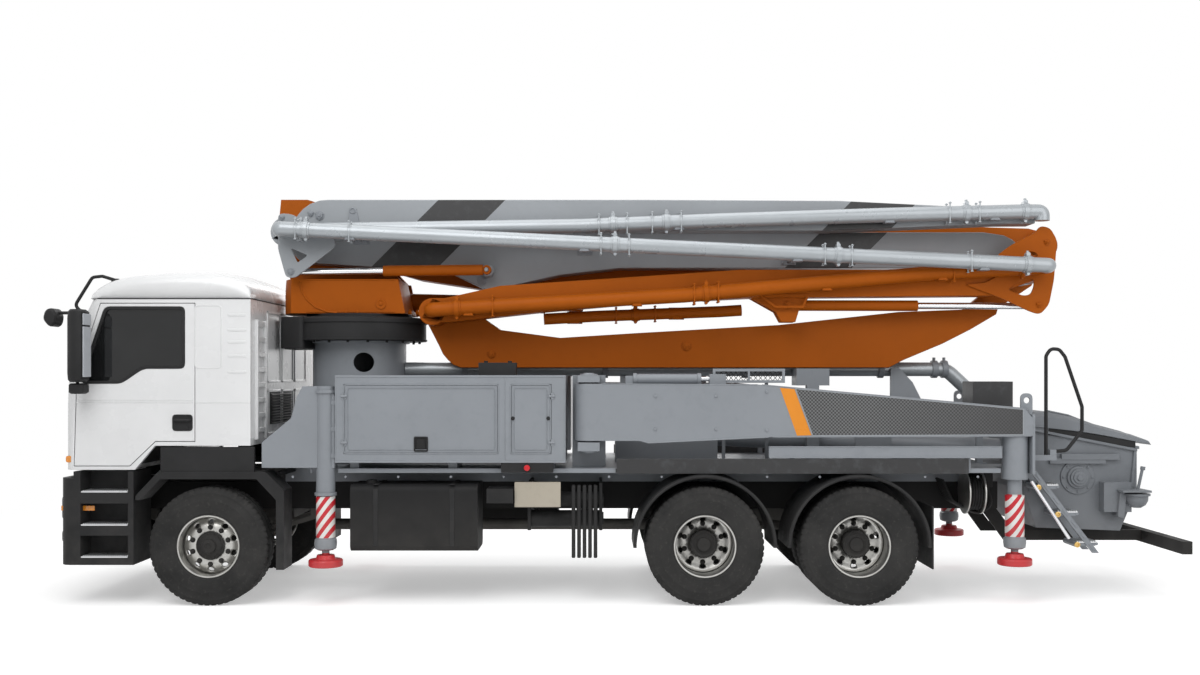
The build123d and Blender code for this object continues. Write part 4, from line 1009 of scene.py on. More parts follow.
def mirrors():
    """Moulded mirror housings on bent tubes, in place of the plain ones, and the low mirrors under them."""
    for name, side in SIDES:
        body = f"door_{name}"
        shell = Form()
        plan = rounded_outline([(-1.185, 1.345), (-1.165, 1.5), (-1.09, 1.555),
                                (-1.012, 1.552), (-1.006, 1.345)], 0.04)
        shell.loft([[place(back, side * y, z) for back, y in scaled(plan, (-1.1, 1.45), grow)]
                    for z, grow in ((2.03, 0.7), (2.05, 0.93), (2.11, 1.0), (2.6, 1.0),
                                    (2.655, 0.93), (2.675, 0.7))])
        made = shell.piece(f"mirror_housing_{name}", "plastic", body, bevel=0.006)
        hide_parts(f"mirror_{name}")
        glass = Form()
        for zs in ((2.075, 2.52), (2.535, 2.635)):
            glass.box((-1.008, -1.001), span(side, 1.365, 1.535), zs)
        glass.piece(f"mirror_glass_{name}", "mirror_glass", body, bevel=0.004)
        low = Form()
        low_line = rounded_outline([(-0.08, -0.075), (-0.05, 0.08), (0.08, 0.075), (0.08, -0.075)], 0.03)
        low.loft([[place(-1.1 + x * grow, side * (1.42 + y * grow), z) for x, y in low_line]
                  for z, grow in ((1.925, 0.75), (1.94, 1.0), (2.005, 1.0), (2.018, 0.8))])
        low.piece(f"low_mirror_{name}", "plastic", body, bevel=0.005)
        arms = Form()
        for z, reach in ((2.165, 1.4), (2.615, 1.4)):
            points = [(-1.13, CAB_HALF - 0.004), (-1.13, CAB_HALF + 0.06), (-1.12, reach)]
            arms.pipe([place(back, side * y, z) for back, y in points], 0.014, 0.04, 12)
            arms.turned([(side * -0.002, 0.0), (side * -0.002, 0.034), (side * 0.01, 0.03),
                         (side * 0.01, 0.0)], place(-1.13, side * CAB_HALF, z), "Y", 20)
        arms.bar(place(-1.1, side * 1.42, 2.035), place(-1.1, side * 1.42, 2.01), 0.013, 12)
        arms.piece(f"mirror_arms_{name}", "plastic", body)


def front_lamps():
    """Headlamps and fog lamps standing proud of the bumper: bowls in dark frames behind clear covers."""
    face = AXLE_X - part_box("bumper_steps")[1].x
    for name, side in SIDES:
        inner, outer = HALF_WIDTH - 0.385, HALF_WIDTH - 0.125
        housing, bowls, cover = Form(), Form(), Form()
        for low, high, count in ((0.785, 0.975, 2), (0.575, 0.665, 2)):
            frame_line = rounded_outline([(inner, low), (outer, low), (outer, high), (inner, high)], 0.025)
            housing.loft([[place(face - out, side * y, z) for y, z in line]
                          for out, line in ((-0.001, inset(frame_line, -0.014)),
                                            (0.02, inset(frame_line, -0.008)), (0.022, frame_line),
                                            (0.003, inset(frame_line, 0.004)))])
            cover.loft([[place(face - out, side * y, z) for y, z in inset(frame_line, 0.001)]
                        for out in (0.018, 0.021)])
            radius = min((high - low), (outer - inner) / count) * 0.44
            for index in range(count):
                y = inner + (outer - inner) * (index + 0.5) / count
                bowls.turned([(0.015, radius), (0.008, radius * 0.85), (0.004, radius * 0.5),
                              (0.009, radius * 0.2), (0.013, 0.0)], place(face, side * y, (low + high) / 2),
                             "X", 28)
        housing.piece(f"lamp_frames_{name}", "plastic", bevel=0.002)
        bowls.piece(f"lamp_bowls_{name}", "chrome")
        cover.piece(f"lamp_covers_{name}", "clear_cover")
        strip = Form()
        strip.box((face - 0.008, face + 0.002), span(side, inner, outer), (1.015, 1.05))
        strip.box((face - 0.004, face + 0.3), skin(side, HALF_WIDTH, 0.064, -0.058), (0.86, 0.905))
        strip.piece(f"front_indicator_{name}", "amber", bevel=0.004)
    form = Form()
    for y, z in ((-0.3, 1.02), (0.3, 1.02)):
        form.turned([(-0.002, 0.022), (0.012, 0.02), (0.012, 0.0)], place(face, y, z), "X", 20)
    form.box((face - 0.006, face + 0.001), (-0.255, 0.255), (0.772, 0.888))
    for z in (0.5, 0.705, 0.72):
        form.box((face - 0.004, face + 0.001), (-0.8, 0.8), (z, z + 0.006))
    for index in range(5):
        z = 0.545 + index * 0.03
        form.box((face - 0.007, face + 0.001), (-0.62, 0.62), (z, z + 0.014))
    form.piece("bumper_trim", "plastic", bevel=0.003)


def step_treads():
    """Serrated alloy treads on the cab steps, with lips."""
    for name, side in SIDES:
        form = Form()
        for z in (1.034, 0.734, 0.444):
            form.box((-1.145, -0.725), skin(side, HALF_WIDTH, 0.2, -0.002), (z, z + 0.008))
            form.box((-1.145, -0.725), skin(side, HALF_WIDTH, 0.008, -0.001), (z - 0.026, z + 0.008))
            for index in range(21):
                back = -1.135 + index * 0.02
                form.box((back, back + 0.01), skin(side, HALF_WIDTH, 0.195, -0.018), (z + 0.008, z + 0.015))
        form.piece(f"step_treads_{name}", "tread_alloy")


CAB_PARTS = (cab_glazing, cab_doors, cab_front, cab_rear, mirrors, front_lamps, step_treads)


# ---------------------------------------------------------------- boom
LANE_B, LANE_C = (-0.05, 0.24), (0.3, 0.56)
LEVER_LANE, LINK_LANE = (0.566, 0.584), (-0.14, -0.06)
PIN_R = 0.055
PIPE_R = 0.07
PIVOT_2, PIVOT_3, PIVOT_4, PIVOT_5 = (8.016, 3.4), (1.937, 2.699), (7.767, 3.121), (0.528, 3.466)
# Pipe runs as (back, y, z)
PIPE_1 = [(0.528, 0.7375, 3.466), (0.528, 0.812, 3.466), (7.767, 0.812, 3.121), (7.767, 0.7375, 3.121)]
PIPE_2 = [(0.528, 0.7365, 3.466), (0.528, 0.65, 3.466), (3.373, 0.65, 3.51), (4.69, 0.65, 3.563),
          (6.212, 0.65, 3.612), (7.545, 0.65, 3.646), (7.754, 0.65, 3.647), (7.754, 0.65, 3.56)]
PIPE_3 = [(1.937, 0.559, 2.712), (1.937, 0.662, 2.712), (4.356, 0.662, 2.85), (6.752, 0.662, 3.065),
          (7.767, 0.662, 3.121), (7.767, 0.7365, 3.121)]
PIPE_4 = [(3.0, 0.316, 2.638), (3.5, 0.316, 2.666), (4.722, 0.316, 2.712), (4.93, 0.316, 2.725)]


def drum(form, centre, radius, lane, sides=40):
    """A round part across the truck."""
    back, z = centre
    return form.bar(place(back, lane[0], z), place(back, lane[1], z), radius, sides)


def on_run(run, back):
    """The point of a pipe's run at a distance behind the front axle, and the way the run goes there."""
    for start, end in zip(run, run[1:]):
        if start[0] <= back <= end[0] and end[0] - start[0] > 0.1:
            first, last = place(*start), place(*end)
            share = (back - start[0]) / (end[0] - start[0])
            return first.lerp(last, share), (last - first).normalized()
    raise ValueError(back)


def pipe_run(name, run, radius, look, body, couplings, straps, brackets, face):
    """A conveying pipe with its elbows, bolted couplings, straps with studs, and its brackets."""
    Form().pipe([place(*point) for point in run], radius, 0.11, 28).piece(f"{name}_tube", look, body)
    form = Form()
    up, across = Vector((0, 0, 1)), Vector((0, 1, 0))
    for back in couplings:
        spot, way = on_run(run, back)
        form.bar(spot - way * 0.04, spot + way * 0.04, radius * 1.1, 28)
        form.bar(spot - way * 0.022, spot + way * 0.022, radius * 1.24, 28)
        lug = spot + up * radius * 1.32
        form.bar(lug - across * 0.035, lug + across * 0.035, 0.02, 12)
        form.bar(lug - up * 0.03, lug + up * 0.034, 0.014, 6)
        low = spot - up * radius * 1.28
        form.bar(low - across * 0.03, low + across * 0.03, 0.016, 12)
    for back in straps:
        spot, way = on_run(run, back)
        form.bar(spot - way * 0.012, spot + way * 0.012, radius * 1.07, 28)
        for lean in (-0.9, 0.9):
            foot = spot + across * radius * lean
            form.bar(foot - up * radius * 1.45, foot + up * radius * 1.5, 0.0075, 8)
            form.bar(foot + up * radius * 1.28, foot + up * radius * 1.42, 0.015, 6)
            form.bar(foot - up * radius * 1.42, foot - up * radius * 1.28, 0.015, 6)
    form.piece(f"{name}_clamps", look, body, bevel=0.002)
    form = Form()
    for back in brackets:
        spot, way = on_run(run, back)
        z = spot.z
        form.box((back - 0.016, back + 0.016), (face, spot.y - radius * 0.8), (z - 0.035, z + 0.035))
        form.box((back - 0.075, back + 0.075), (face - 0.002, face + 0.012), (z - 0.06, z + 0.06))
        form.prism([(back - 0.05, z - radius * 1.1), (back + 0.05, z - radius * 1.1),
                    (back + 0.03, z - radius * 0.7), (back - 0.03, z - radius * 0.7)],
                   (spot.y - radius * 1.0, spot.y + radius * 0.6))
        for db, dz in ((-0.055, -0.04), (0.055, -0.04), (-0.055, 0.04), (0.055, 0.04)):
            foot = place(back + db, face + 0.012, z + dz)
            form.bar(foot, foot + across * 0.008, 0.01, 6)
    form.piece(f"{name}_brackets", "orange" if look == "orange" else "grey", body, bevel=0.002)


def pin_end(form, centre, y, radius):
    """A joint pin's end: a flanged cap, its centre and three bolts."""
    back, z = centre
    way = Vector((0, 1, 0))
    spot = place(back, y, z)
    form.bar(spot, spot + way * 0.01, radius * 1.45, 32)
    form.bar(spot, spot + way * 0.022, radius, 32)
    form.bar(spot + way * 0.022, spot + way * 0.03, radius * 0.45, 20)
    for angle in (0.6, 0.6 + tau / 3, 0.6 + 2 * tau / 3):
        foot = spot + Vector((cos(angle), 0, sin(angle))) * radius * 1.22 + way * 0.01
        form.bar(foot, foot + way * 0.008, 0.009, 6)


def pin_ends(name, look, body, spots, bevel=0.002):
    """One piece of pins' ends, given as (centre, y, radius)."""
    form = Form()
    for spot in spots:
        pin_end(form, *spot)
    form.piece(name, look, body, bevel=bevel)


def section(name, slabs, drums, look, slot):
    """One boom section: flat slabs and round parts with their edges broken, in place of the plain one."""
    form = Form()
    for outline, lane in slabs:
        form.prism(outline, lane)
    for centre, radius, lane in drums:
        drum(form, centre, radius, lane)
    made = form.piece(f"{name}_section", look, name, bevel=0.007)
    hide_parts(name)


def boom_sections():
    """Sections 2 to 5 in the outlines of the real boom, as flat slabs and round parts."""
    section("boom_2", (
        ([(1.85, 2.6), (1.959, 2.389), (2.0, 2.3), (2.048, 2.242), (2.1, 2.195), (2.175, 2.165),
          (6.392, 2.165), (6.539, 2.24), (6.921, 2.4), (7.196, 2.54), (7.451, 2.69), (7.48, 2.79),
          (7.2, 2.74), (6.49, 2.713), (5.313, 2.585), (3.94, 2.507), (3.156, 2.458), (2.567, 2.536),
          (2.2, 2.79), (1.937, 2.835)], LANE_B),
        ([(6.3, 2.2), (6.539, 2.24), (7.196, 2.54), (7.451, 2.69), (7.9, 2.99), (8.15, 3.4), (7.88, 3.4),
          (7.7, 3.15), (7.2, 2.74), (6.49, 2.713)], LINK_LANE),
        ([(6.3, 2.2), (6.539, 2.24), (7.196, 2.54), (7.451, 2.69), (7.59, 2.795), (7.272, 2.795),
          (7.2, 2.74), (6.49, 2.713)], (LINK_LANE[1], LANE_B[0])),
        ([(7.95, 3.4), (8.08, 3.4), (8.06, 3.09), (7.96, 3.09)], (-0.468, -0.44)),
    ), (
        (PIVOT_3, 0.135, LANE_B), (PIVOT_2, 0.15, LINK_LANE), (PIVOT_2, PIN_R, (-0.47, LINK_LANE[1])),
        (PIVOT_2, 0.095, (-0.468, -0.44)), ((4.4, 2.38), 0.02, (-0.148, LANE_B[0])),
    ), "orange", "orange_paint")
    lug = [(4.967, 2.85), (5.236, 2.699), (5.29, 2.6), (5.43, 2.6), (5.466, 2.718), (5.571, 2.85)]
    section("boom_3", (
        ([(1.83, 2.64), (1.9, 2.6), (2.11, 2.6), (3.0, 2.7), (3.932, 2.78), (4.967, 2.833), (7.3, 2.853),
          (7.7, 2.995), (7.767, 3.24), (7.479, 3.15), (7.3, 3.102), (4.89, 3.102), (2.589, 2.948),
          (2.062, 2.83), (1.937, 2.829)], LANE_C),
        (lug, (0.35, 0.375)), (lug, (0.485, 0.51)),
        ([(1.88, 2.699), (2.0, 2.699), (1.985, 2.42), (1.895, 2.42)], (-0.142, -0.126)),
    ), (
        (PIVOT_3, 0.13, (0.243, LANE_C[1])), (PIVOT_4, 0.13, (0.243, LANE_C[1])),
        ((5.36, 2.766), 0.02, (0.35, 0.51)), (PIVOT_3, PIN_R, (-0.14, LANE_C[1])),
        (PIVOT_3, 0.095, (-0.142, -0.126)),
    ), "orange", "orange_paint")
    section("boom_4", (
        ([(0.48, 3.33), (0.606, 3.203), (2.057, 3.105), (2.45, 2.919), (3.156, 3.076), (3.744, 3.144),
          (7.4, 3.144), (7.767, 2.99), (7.767, 3.255), (7.7, 3.34), (7.61, 3.425), (7.52, 3.468),
          (7.323, 3.497), (0.64, 3.497), (0.528, 3.59), (0.42, 3.466)], LANE_B),
    ), (
        (PIVOT_4, 0.135, LANE_B), (PIVOT_4, PIN_R, (LANE_B[1], LEVER_LANE[1])), (PIVOT_5, 0.125, LANE_B),
        ((2.45, 3.111), 0.06, (LANE_B[1], 0.372)), ((2.45, 3.111), 0.02, (0.372, 0.49)),
    ), "boom_4", "light_grey_paint")
    section("boom_5", (
        ([(0.395, 3.4), (0.6, 3.54), (0.652, 3.629), (0.7, 3.685), (0.77, 3.735), (0.858, 3.766),
          (0.94, 3.773), (3.932, 3.773), (5.849, 3.763), (7.383, 3.687), (7.72, 3.687), (7.72, 3.545),
          (7.383, 3.543), (5.753, 3.476), (1.5, 3.476), (0.9, 3.38), (0.64, 3.335)], LANE_C),
    ), (
        (PIVOT_5, 0.14, LANE_C), (PIVOT_5, PIN_R, (LANE_B[0], LANE_C[1])),
    ), "boom_5", "light_grey_paint")


def boom_levers():
    """The pierced levers at both ends of the grey sections and the pins' ends."""
    outline = rounded_outline([(7.34, 3.23), (7.48, 3.335), (7.712, 3.454), (7.76, 3.521), (7.856, 3.502),
                               (7.923, 3.387), (7.894, 3.004), (7.846, 2.765), (7.76, 2.669),
                               (7.664, 2.698), (7.377, 2.832), (7.042, 2.957),
                               (7.233, 2.976), (7.473, 3.1)], 0.045)
    openings = (
        [(7.449, 2.911), (7.546, 2.985), (7.7, 3.015), (7.7, 2.937), (7.668, 2.862), (7.595, 2.851)],
        [(7.6, 3.23), (7.64, 3.275), (7.715, 3.268), (7.748, 3.225), (7.62, 3.195)],
    )
    plate = Form().prism(outline, LEVER_LANE)
    cut = carved(plate, [Form().prism(rounded_outline(hole, 0.03), (0.55, 0.6)) for hole in openings])
    cut.piece("lever_4", "orange", "boom_4", bevel=0.003)
    lever_face = LEVER_LANE[1] - 0.002
    pin_ends("lever_4_pins", "orange", "boom_4", (((7.821, 3.363), lever_face, 0.017),
                                                  ((7.747, 2.765), lever_face, 0.016)), 0.0015)
    outline = rounded_outline([(0.466, 3.617), (0.5, 3.64), (0.6, 3.63), (1.012, 3.4), (1.012, 3.314),
                               (0.64, 3.03), (0.59, 3.02), (0.54, 3.035), (0.466, 3.3)], 0.035)
    plate = Form().prism(outline, LEVER_LANE)
    hole = Form().prism(rounded_outline([(0.589, 3.308), (0.653, 3.167), (0.749, 3.238)], 0.02),
                        (0.55, 0.6))
    carved(plate, [hole]).piece("lever_5", "boom_5", "boom_5", bevel=0.003)
    form = Form()
    for centre, radius in (((0.59, 3.08), 0.022), ((0.505, 3.6), 0.018),
                           ((0.86, 3.62), 0.03), ((0.775, 3.64), 0.02)):
        pin_end(form, centre, (LEVER_LANE if centre[0] < 0.7 else LANE_C)[1] - 0.001, radius)
    ear = rounded_outline([(1.13, 3.48), (1.15, 3.7), (1.21, 3.7), (1.26, 3.48)], 0.03)
    form.prism(ear, (LANE_C[1] - 0.001, LANE_C[1] + 0.016))
    form.turned([(0.0, 0.03), (0.022, 0.03), (0.022, 0.02), (0.002, 0.02)], place(1.18, LANE_C[1], 3.665),
                "Y", 24)
    form.piece("section_5_fittings", "grey", "boom_5", bevel=0.002)
    lane_face = LANE_B[1] - 0.001
    pin_ends("section_4_boss", "grey", "boom_4", (((2.385, 3.02), lane_face, 0.032),))
    pin_ends("section_2_pins", "orange", "boom_2", (((4.4, 2.38), lane_face, 0.034),
                                                    ((2.48, 2.3), lane_face, 0.028)))
    form = Form()
    pin_end(form, (5.36, 2.766), 0.509, 0.03)
    gusset = [(5.055, 2.87), (5.225, 2.735), (5.5, 2.735), (5.56, 2.87)]
    flat_frame(form, gusset, 0.022, (LANE_C[1] - 0.001, LANE_C[1] + 0.006))
    form.piece("section_3_pins", "orange", "boom_3", bevel=0.002)


def boom_pipes():
    """The four pipe runs beside the sections."""
    pipe_run("pipe_1", PIPE_1, PIPE_R, "pipe", "boom_4", (0.79, 3.689, 5.782, 7.56),
             (0.7, 1.202, 3.557, 3.82, 5.65, 5.904, 7.021), (1.202, 3.4, 5.4, 7.15), LANE_B[1])
    pipe_run("pipe_2", PIPE_2, PIPE_R, "pipe", "boom_5", (0.7, 3.672, 4.18, 7.031, 7.59),
             (3.538, 3.805, 4.043, 4.319, 6.862, 7.145), (2.3, 4.3, 6.3, 7.3), LANE_C[1])
    pipe_run("pipe_3", PIPE_3, PIPE_R, "orange", "boom_3", (2.189, 4.556, 7.56), (2.531, 4.442, 4.67, 6.9),
             (2.3, 3.9, 5.7, 6.8), LANE_C[1])
    pipe_run("pipe_4", PIPE_4, 0.055, "orange", "boom_2", (3.895,), (3.705, 4.086), (3.3, 4.3), LANE_B[1])


BOOM_PARTS = (boom_sections, boom_levers, boom_pipes)


# ---------------------------------------------------------------- deck, boxes, arms and jacks
ARM_BACK, ARM_Y, ARM_FACE = 3.445, HALF_WIDTH - 0.17, HALF_WIDTH - 0.04
FRONT_LEG, REAR_LEG = (1.049, HALF_WIDTH - 0.09), (7.353, HALF_WIDTH - 0.17)


def arm_top(back):
    """The height of the rear arm's top edge."""
    return 2.005 - 0.215 * max(back - 5.0, 0.0) / 2.4


def side_box_details():
    """Door frames, hinges, lips, latches, remote box and stop button of both side boxes."""
    for name, side in SIDES:
        grey, dark = Form(), Form()
        lane = skin(side, BOX_SIDE, 0.004, 0.005)
        for backs in ((1.229, 2.635), (2.734, 3.105)):
            flat_frame(grey, rounded_outline(rectangle(backs, (1.378, 2.01)), 0.03), 0.01, lane)
            inner = (backs[0] + 0.035, backs[1] - 0.035)
            flat_frame(grey, rounded_outline(rectangle(inner, (1.413, 1.975)), 0.02), 0.006, lane)
        for z in (1.48, 1.9):
            for start, end in ((1.205, 1.262), (3.082, 3.139)):
                grey.bar(place(start, side * (BOX_SIDE + 0.004), z),
                         place(end, side * (BOX_SIDE + 0.004), z), 0.011, 16)
                grey.box((start + 0.006, end - 0.006), lane, (z - 0.03, z + 0.03))
        grey.box((1.15, 3.237), skin(side, BOX_SIDE, 0.03, 0.004), (2.07, 2.09))
        grey.box((1.15, 3.237), skin(side, BOX_SIDE, 0.03, 0.004), (1.298, 1.318))
        for back in (1.152, 2.685, 3.225):
            grey.box((back, back + 0.01), skin(side, BOX_SIDE, 0.01, 0.004), (1.318, 2.07))
        grey.piece(f"side_box_trim_{name}", "grey", bevel=0.002)
        latch = rounded_outline(rectangle((1.866, 1.993), (1.399, 1.535)), 0.014)
        flat_frame(dark, latch, 0.012, skin(side, BOX_SIDE, 0.002, 0.009))
        dark.prism(inset(latch, 0.011), skin(side, BOX_SIDE, 0.002, 0.002))
        dark.prism([(1.89, 1.425), (1.97, 1.425), (1.962, 1.51), (1.898, 1.51)],
                   skin(side, BOX_SIDE, -0.002, 0.012))
        for back in (2.76, 3.08):
            dark.turned([(0.0, 0.018), (side * 0.01, 0.016), (side * 0.01, 0.0)],
                        place(back, side * BOX_SIDE, 1.7), "Y", 20)
        dark.box((2.653, 3.123), span(side, BOX_SIDE - 0.17, BOX_SIDE), (1.209, 1.297))
        dark.box((2.44, 2.779), skin(side, BOX_SIDE, 0.29, -0.09), (2.089, 2.205))
        for back in (2.5, 2.72):
            dark.bar(place(back, side * (BOX_SIDE - 0.19), 2.205),
                     place(back, side * (BOX_SIDE - 0.19), 2.222), 0.018, 12)
        dark.piece(f"side_box_latches_{name}", "plastic", bevel=0.003)
        knob = Form().turned([(0.0, 0.02), (side * 0.012, 0.02), (side * 0.014, 0.028),
                              (side * 0.026, 0.026), (side * 0.028, 0.0)],
                             place(2.888, side * BOX_SIDE, 1.253), "Y", 24)
        knob.piece(f"stop_button_{name}", "red")


def arm_details():
    """Woven panel in its border, orange stripe, top cylinder, end plate and eye of each rear arm."""
    for name, side in SIDES:
        body = f"rear_leg_arm_{name}"
        panel = [(5.326, arm_top(5.326) - 0.012), (7.385, arm_top(7.385) - 0.014),
                 (7.385, 1.553), (5.481, 1.545)]
        Form().prism(panel, skin(side, ARM_FACE, 0.002, 0.001)).piece(
            f"woven_panel_{name}", "woven", body)
        border = Form()
        flat_frame(border, inset(panel, -0.008), 0.009, skin(side, ARM_FACE, 0.002, 0.002))
        border.piece(f"panel_border_{name}", "boom_4", body)
        slant = [(5.18, arm_top(5.18) - 0.012), (5.312, arm_top(5.312) - 0.012),
                 (5.467, 1.545), (5.335, 1.541)]
        Form().prism(slant, skin(side, ARM_FACE, 0.002, 0.001)).piece(
            f"orange_slant_{name}", "stripe", body)
        form = Form()
        for (b0, z0), (b1, z1) in (((3.56, 2.0115), (4.98, 2.005)), ((5.02, 2.004), (7.38, 1.792)),
                                   ((3.98, 1.476), (5.08, 1.529)), ((5.12, 1.53), (7.46, 1.54))):
            form.prism([(b0, z0 - 0.006), (b1, z1 - 0.006), (b1, z1 + 0.004), (b0, z0 + 0.004)],
                       skin(side, ARM_FACE, 0.03, 0.004))
        for back, z in ((4.05, 1.9), (4.05, 1.6), (4.6, 1.9), (4.6, 1.6), (5.06, 1.94), (5.06, 1.59)):
            form.bar(place(back, side * ARM_FACE, z), place(back, side * (ARM_FACE + 0.01), z), 0.015, 6)
        form.box((7.474, 7.5), skin(side, ARM_FACE, 0.255, -0.005), (1.19, 1.735))
        form.bar(place(3.851, side * ARM_Y, 2.055), place(4.475, side * ARM_Y, 2.055), 0.048, 32)
        form.bar(place(3.851, side * ARM_Y, 2.055), place(3.885, side * ARM_Y, 2.055), 0.055, 32)
        form.bar(place(4.44, side * ARM_Y, 2.055), place(4.475, side * ARM_Y, 2.055), 0.055, 32)
        form.box((3.78, 3.85), skin(side, ARM_Y, 0.045, 0.045), (1.998, 2.085))
        form.box((4.548, 4.7), skin(side, ARM_Y, 0.06, 0.06), (1.998, 2.1))
        form.piece(f"arm_fittings_{name}", "grey", body, bevel=0.003)
        Form().bar(place(4.47, side * ARM_Y, 2.055), place(4.56, side * ARM_Y, 2.055), 0.022, 24).piece(
            f"arm_lock_rod_{name}", "chrome", body)
        eye = Form().prism(rounded_outline([(7.405, 1.7), (7.405, 1.925), (7.515, 1.925), (7.515, 1.7)],
                                           0.05), skin(side, ARM_Y, 0.012, 0.012))
        hole = drum(Form(), (7.462, 1.86), 0.028, (-1.3, 1.3), 24)
        carved(eye, [hole]).piece(f"lifting_eye_{name}", "grey", body, bevel=0.004)
        hinge = Form()
        for z, height in ((2.09, 0.022), (1.4, -0.022)):
            spot = place(ARM_BACK, side * ARM_Y, z)
            hinge.turned([(0.0, 0.0), (0.0, 0.085), (height * 0.6, 0.08), (height * 0.6, 0.05),
                          (height, 0.046), (height, 0.0)], spot, "Z", 32)
        hinge.piece(f"arm_hinge_caps_{name}", "grey", bevel=0.002)


def jack_feet():
    """Jacks turned with pad and ball neck in place of the plain ones; bands and hoses of the front legs."""
    for where, (back, y), top in (("front", FRONT_LEG, 1.88), ("rear", REAR_LEG, 1.75)):
        for name, side in SIDES:
            profile = [(0.35, 0.0), (0.35, 0.146), (0.358, 0.155), (0.404, 0.155), (0.414, 0.148),
                       (0.42, 0.09), (0.455, 0.078), (0.461, 0.034), (0.496, 0.034), (0.5, 0.072),
                       (0.514, 0.096), (0.56, 0.102), (0.598, 0.098), (0.606, 0.086), (0.99, 0.086),
                       (0.994, 0.066), (top, 0.066), (top, 0.0)]
            body = f"{where}_jack_{name}"
            form = Form().turned(profile, place(back, side * y, 0.0), "Z", 48)
            made = form.piece(f"{body}_turned", "leg", body, sharp=30)
            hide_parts(body)
    for name, side in SIDES:
        form = Form()
        back, y = FRONT_LEG
        for z in (1.01, 1.94):
            form.turned([(-0.014, 0.087), (-0.014, 0.1), (0.014, 0.1), (0.014, 0.087)],
                        place(back, side * y, z), "Z", 40)
        for z in (1.36, 1.6, 1.84):
            form.box((back + 0.06, back + 0.1), span(side, y + 0.03, y + 0.06), (z - 0.02, z + 0.02))
        hose = [place(back - 0.12, side * y, 1.93), place(back - 0.14, side * y, 1.5),
                place(back - 0.13, side * y, 1.2)]
        form.pipe(hose, 0.01, 0.1, 10)
        form.piece(f"front_leg_bands_{name}", "grey", f"front_leg_beam_{name}", bevel=0.002)


def tank_details():
    """Tanks with straps and cap, the pale flap, the folded holder and the lips of the mudguards."""
    for name, side in SIDES:
        form = Form()
        ends = (1.285, 2.438) if side > 0 else (1.285, 3.1)
        for share in (0.2, 0.8):
            back = ends[0] + (ends[1] - ends[0]) * share
            form.box((back - 0.022, back + 0.022), span(side, 0.7, HALF_WIDTH - 0.012), (1.096, 1.102))
            form.box((back - 0.022, back + 0.022), skin(side, HALF_WIDTH, 0.017, -0.01), (0.54, 1.06))
        form.turned([(0.0, 0.052), (0.028, 0.05), (0.03, 0.04), (0.036, 0.0)],
                    place(ends[0] + 0.16, side * 1.02, 1.097), "Z", 28)
        form.box((2.52, 2.76), span(side, 0.9, HALF_WIDTH - 0.01), (0.93, 1.06))
        for z in (0.76, 0.93):
            form.bar(place(2.9, side * 0.92, z), place(3.56, side * 0.92, z), 0.078, 28)
            for back in (2.89, 3.57):
                form.bar(place(back - 0.012, side * 0.92, z), place(back + 0.012, side * 0.92, z), 0.06, 28)
        form.box((2.88, 2.91), span(side, 0.38, 1.02), (0.66, 1.1))
        form.box((3.54, 3.57), span(side, 0.38, 1.02), (0.66, 1.1))
        form.piece(f"tank_fittings_{name}", "plastic", bevel=0.004)
        flap = Form().box((2.77, 3.19), skin(side, HALF_WIDTH, 0.07, -0.06), (0.89, 1.12))
        flap.piece(f"pale_flap_{name}", "flap", bevel=0.006)
        form = Form()
        for step in range(5):
            back = 3.29 + step * 0.05
            form.box((back, back + 0.034), skin(side, HALF_WIDTH, 0.13, -0.04), (0.43, 1.09))
        form.piece(f"folded_holder_{name}", "plastic", bevel=0.01)
        lips = Form()
        for centre in DUAL_BACKS.values():
            path = []
            for k in range(25):
                angle = -0.28 + (pi + 0.56) * k / 24
                path.append(place(centre - 0.635 * cos(angle), side * (HALF_WIDTH - 0.006),
                                  AXLE_Z + 0.635 * sin(angle)))
            path = [point for point in path if point.z > 0.5]
            lips.pipe(path, 0.014, 0.01, 8)
        lips.piece(f"mudguard_lips_{name}", "plastic")


def deck_details():
    """Bolts and lips of the deck's edge, the guard's mesh, and the delivery pipe with its support."""
    form = Form()
    for side in (1, -1):
        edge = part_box("deck")[1].y
        for index in range(14):
            back = 0.75 + index * 0.48
            form.bar(place(back, side * 1.15, 1.165), place(back, side * 1.158, 1.165), 0.013, 6)
        form.box((5.085, 7.205), span(side, edge - 0.01, edge + 0.004), (1.432, 1.444))
        form.box((5.085, 7.205), span(side, edge - 0.01, edge + 0.004), (1.336, 1.348))
    form.piece("deck_bolts", "grey", bevel=0.002)
    mesh = Form()
    for index in range(15):
        start = 4.59 + index * 0.045
        for lean in (0.08, -0.08):
            mesh.bar(place(start, 1.098, 2.04), place(min(max(start + lean, 4.59), 5.23), 1.098, 2.13),
                     0.0028, 6)
    mesh.piece("guard_mesh", "plastic")
    run = [place(back, 0.0, z) for back, z in ((1.6, 2.15), (7.02, 2.15), (7.33, 1.86), (7.33, 1.26))]
    made = Form().pipe(run, 0.07, 0.2, 28).piece("delivery_pipe_run", "pipe")
    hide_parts("delivery_pipe")
    form = Form()
    along = Vector((-1, 0, 0))
    for back in (2.2, 3.6, 5.0, 6.36, 6.9, 7.0):
        spot = place(back, 0.0, 2.15)
        form.bar(spot - along * 0.028, spot + along * 0.028, 0.088, 28)
        form.bar(spot + Vector((0, 0, 0.07)), spot + Vector((0, 0, 0.118)), 0.016, 8)
    form.plan([(6.48, -0.1), (6.56, -0.1), (6.56, 0.1), (6.48, 0.1)], (1.199, 2.085))
    form.prism([(6.44, 2.075), (6.44, 2.16), (6.52, 2.17), (6.66, 2.02), (6.78, 1.78), (6.78, 1.199),
                (6.44, 1.199)], (0.09, 0.11))
    form.plan([(3.75, -0.045), (3.83, -0.045), (3.83, 0.045), (3.75, 0.045)], (1.75, 2.085))
    form.piece("delivery_pipe_clamps", "grey", bevel=0.003)


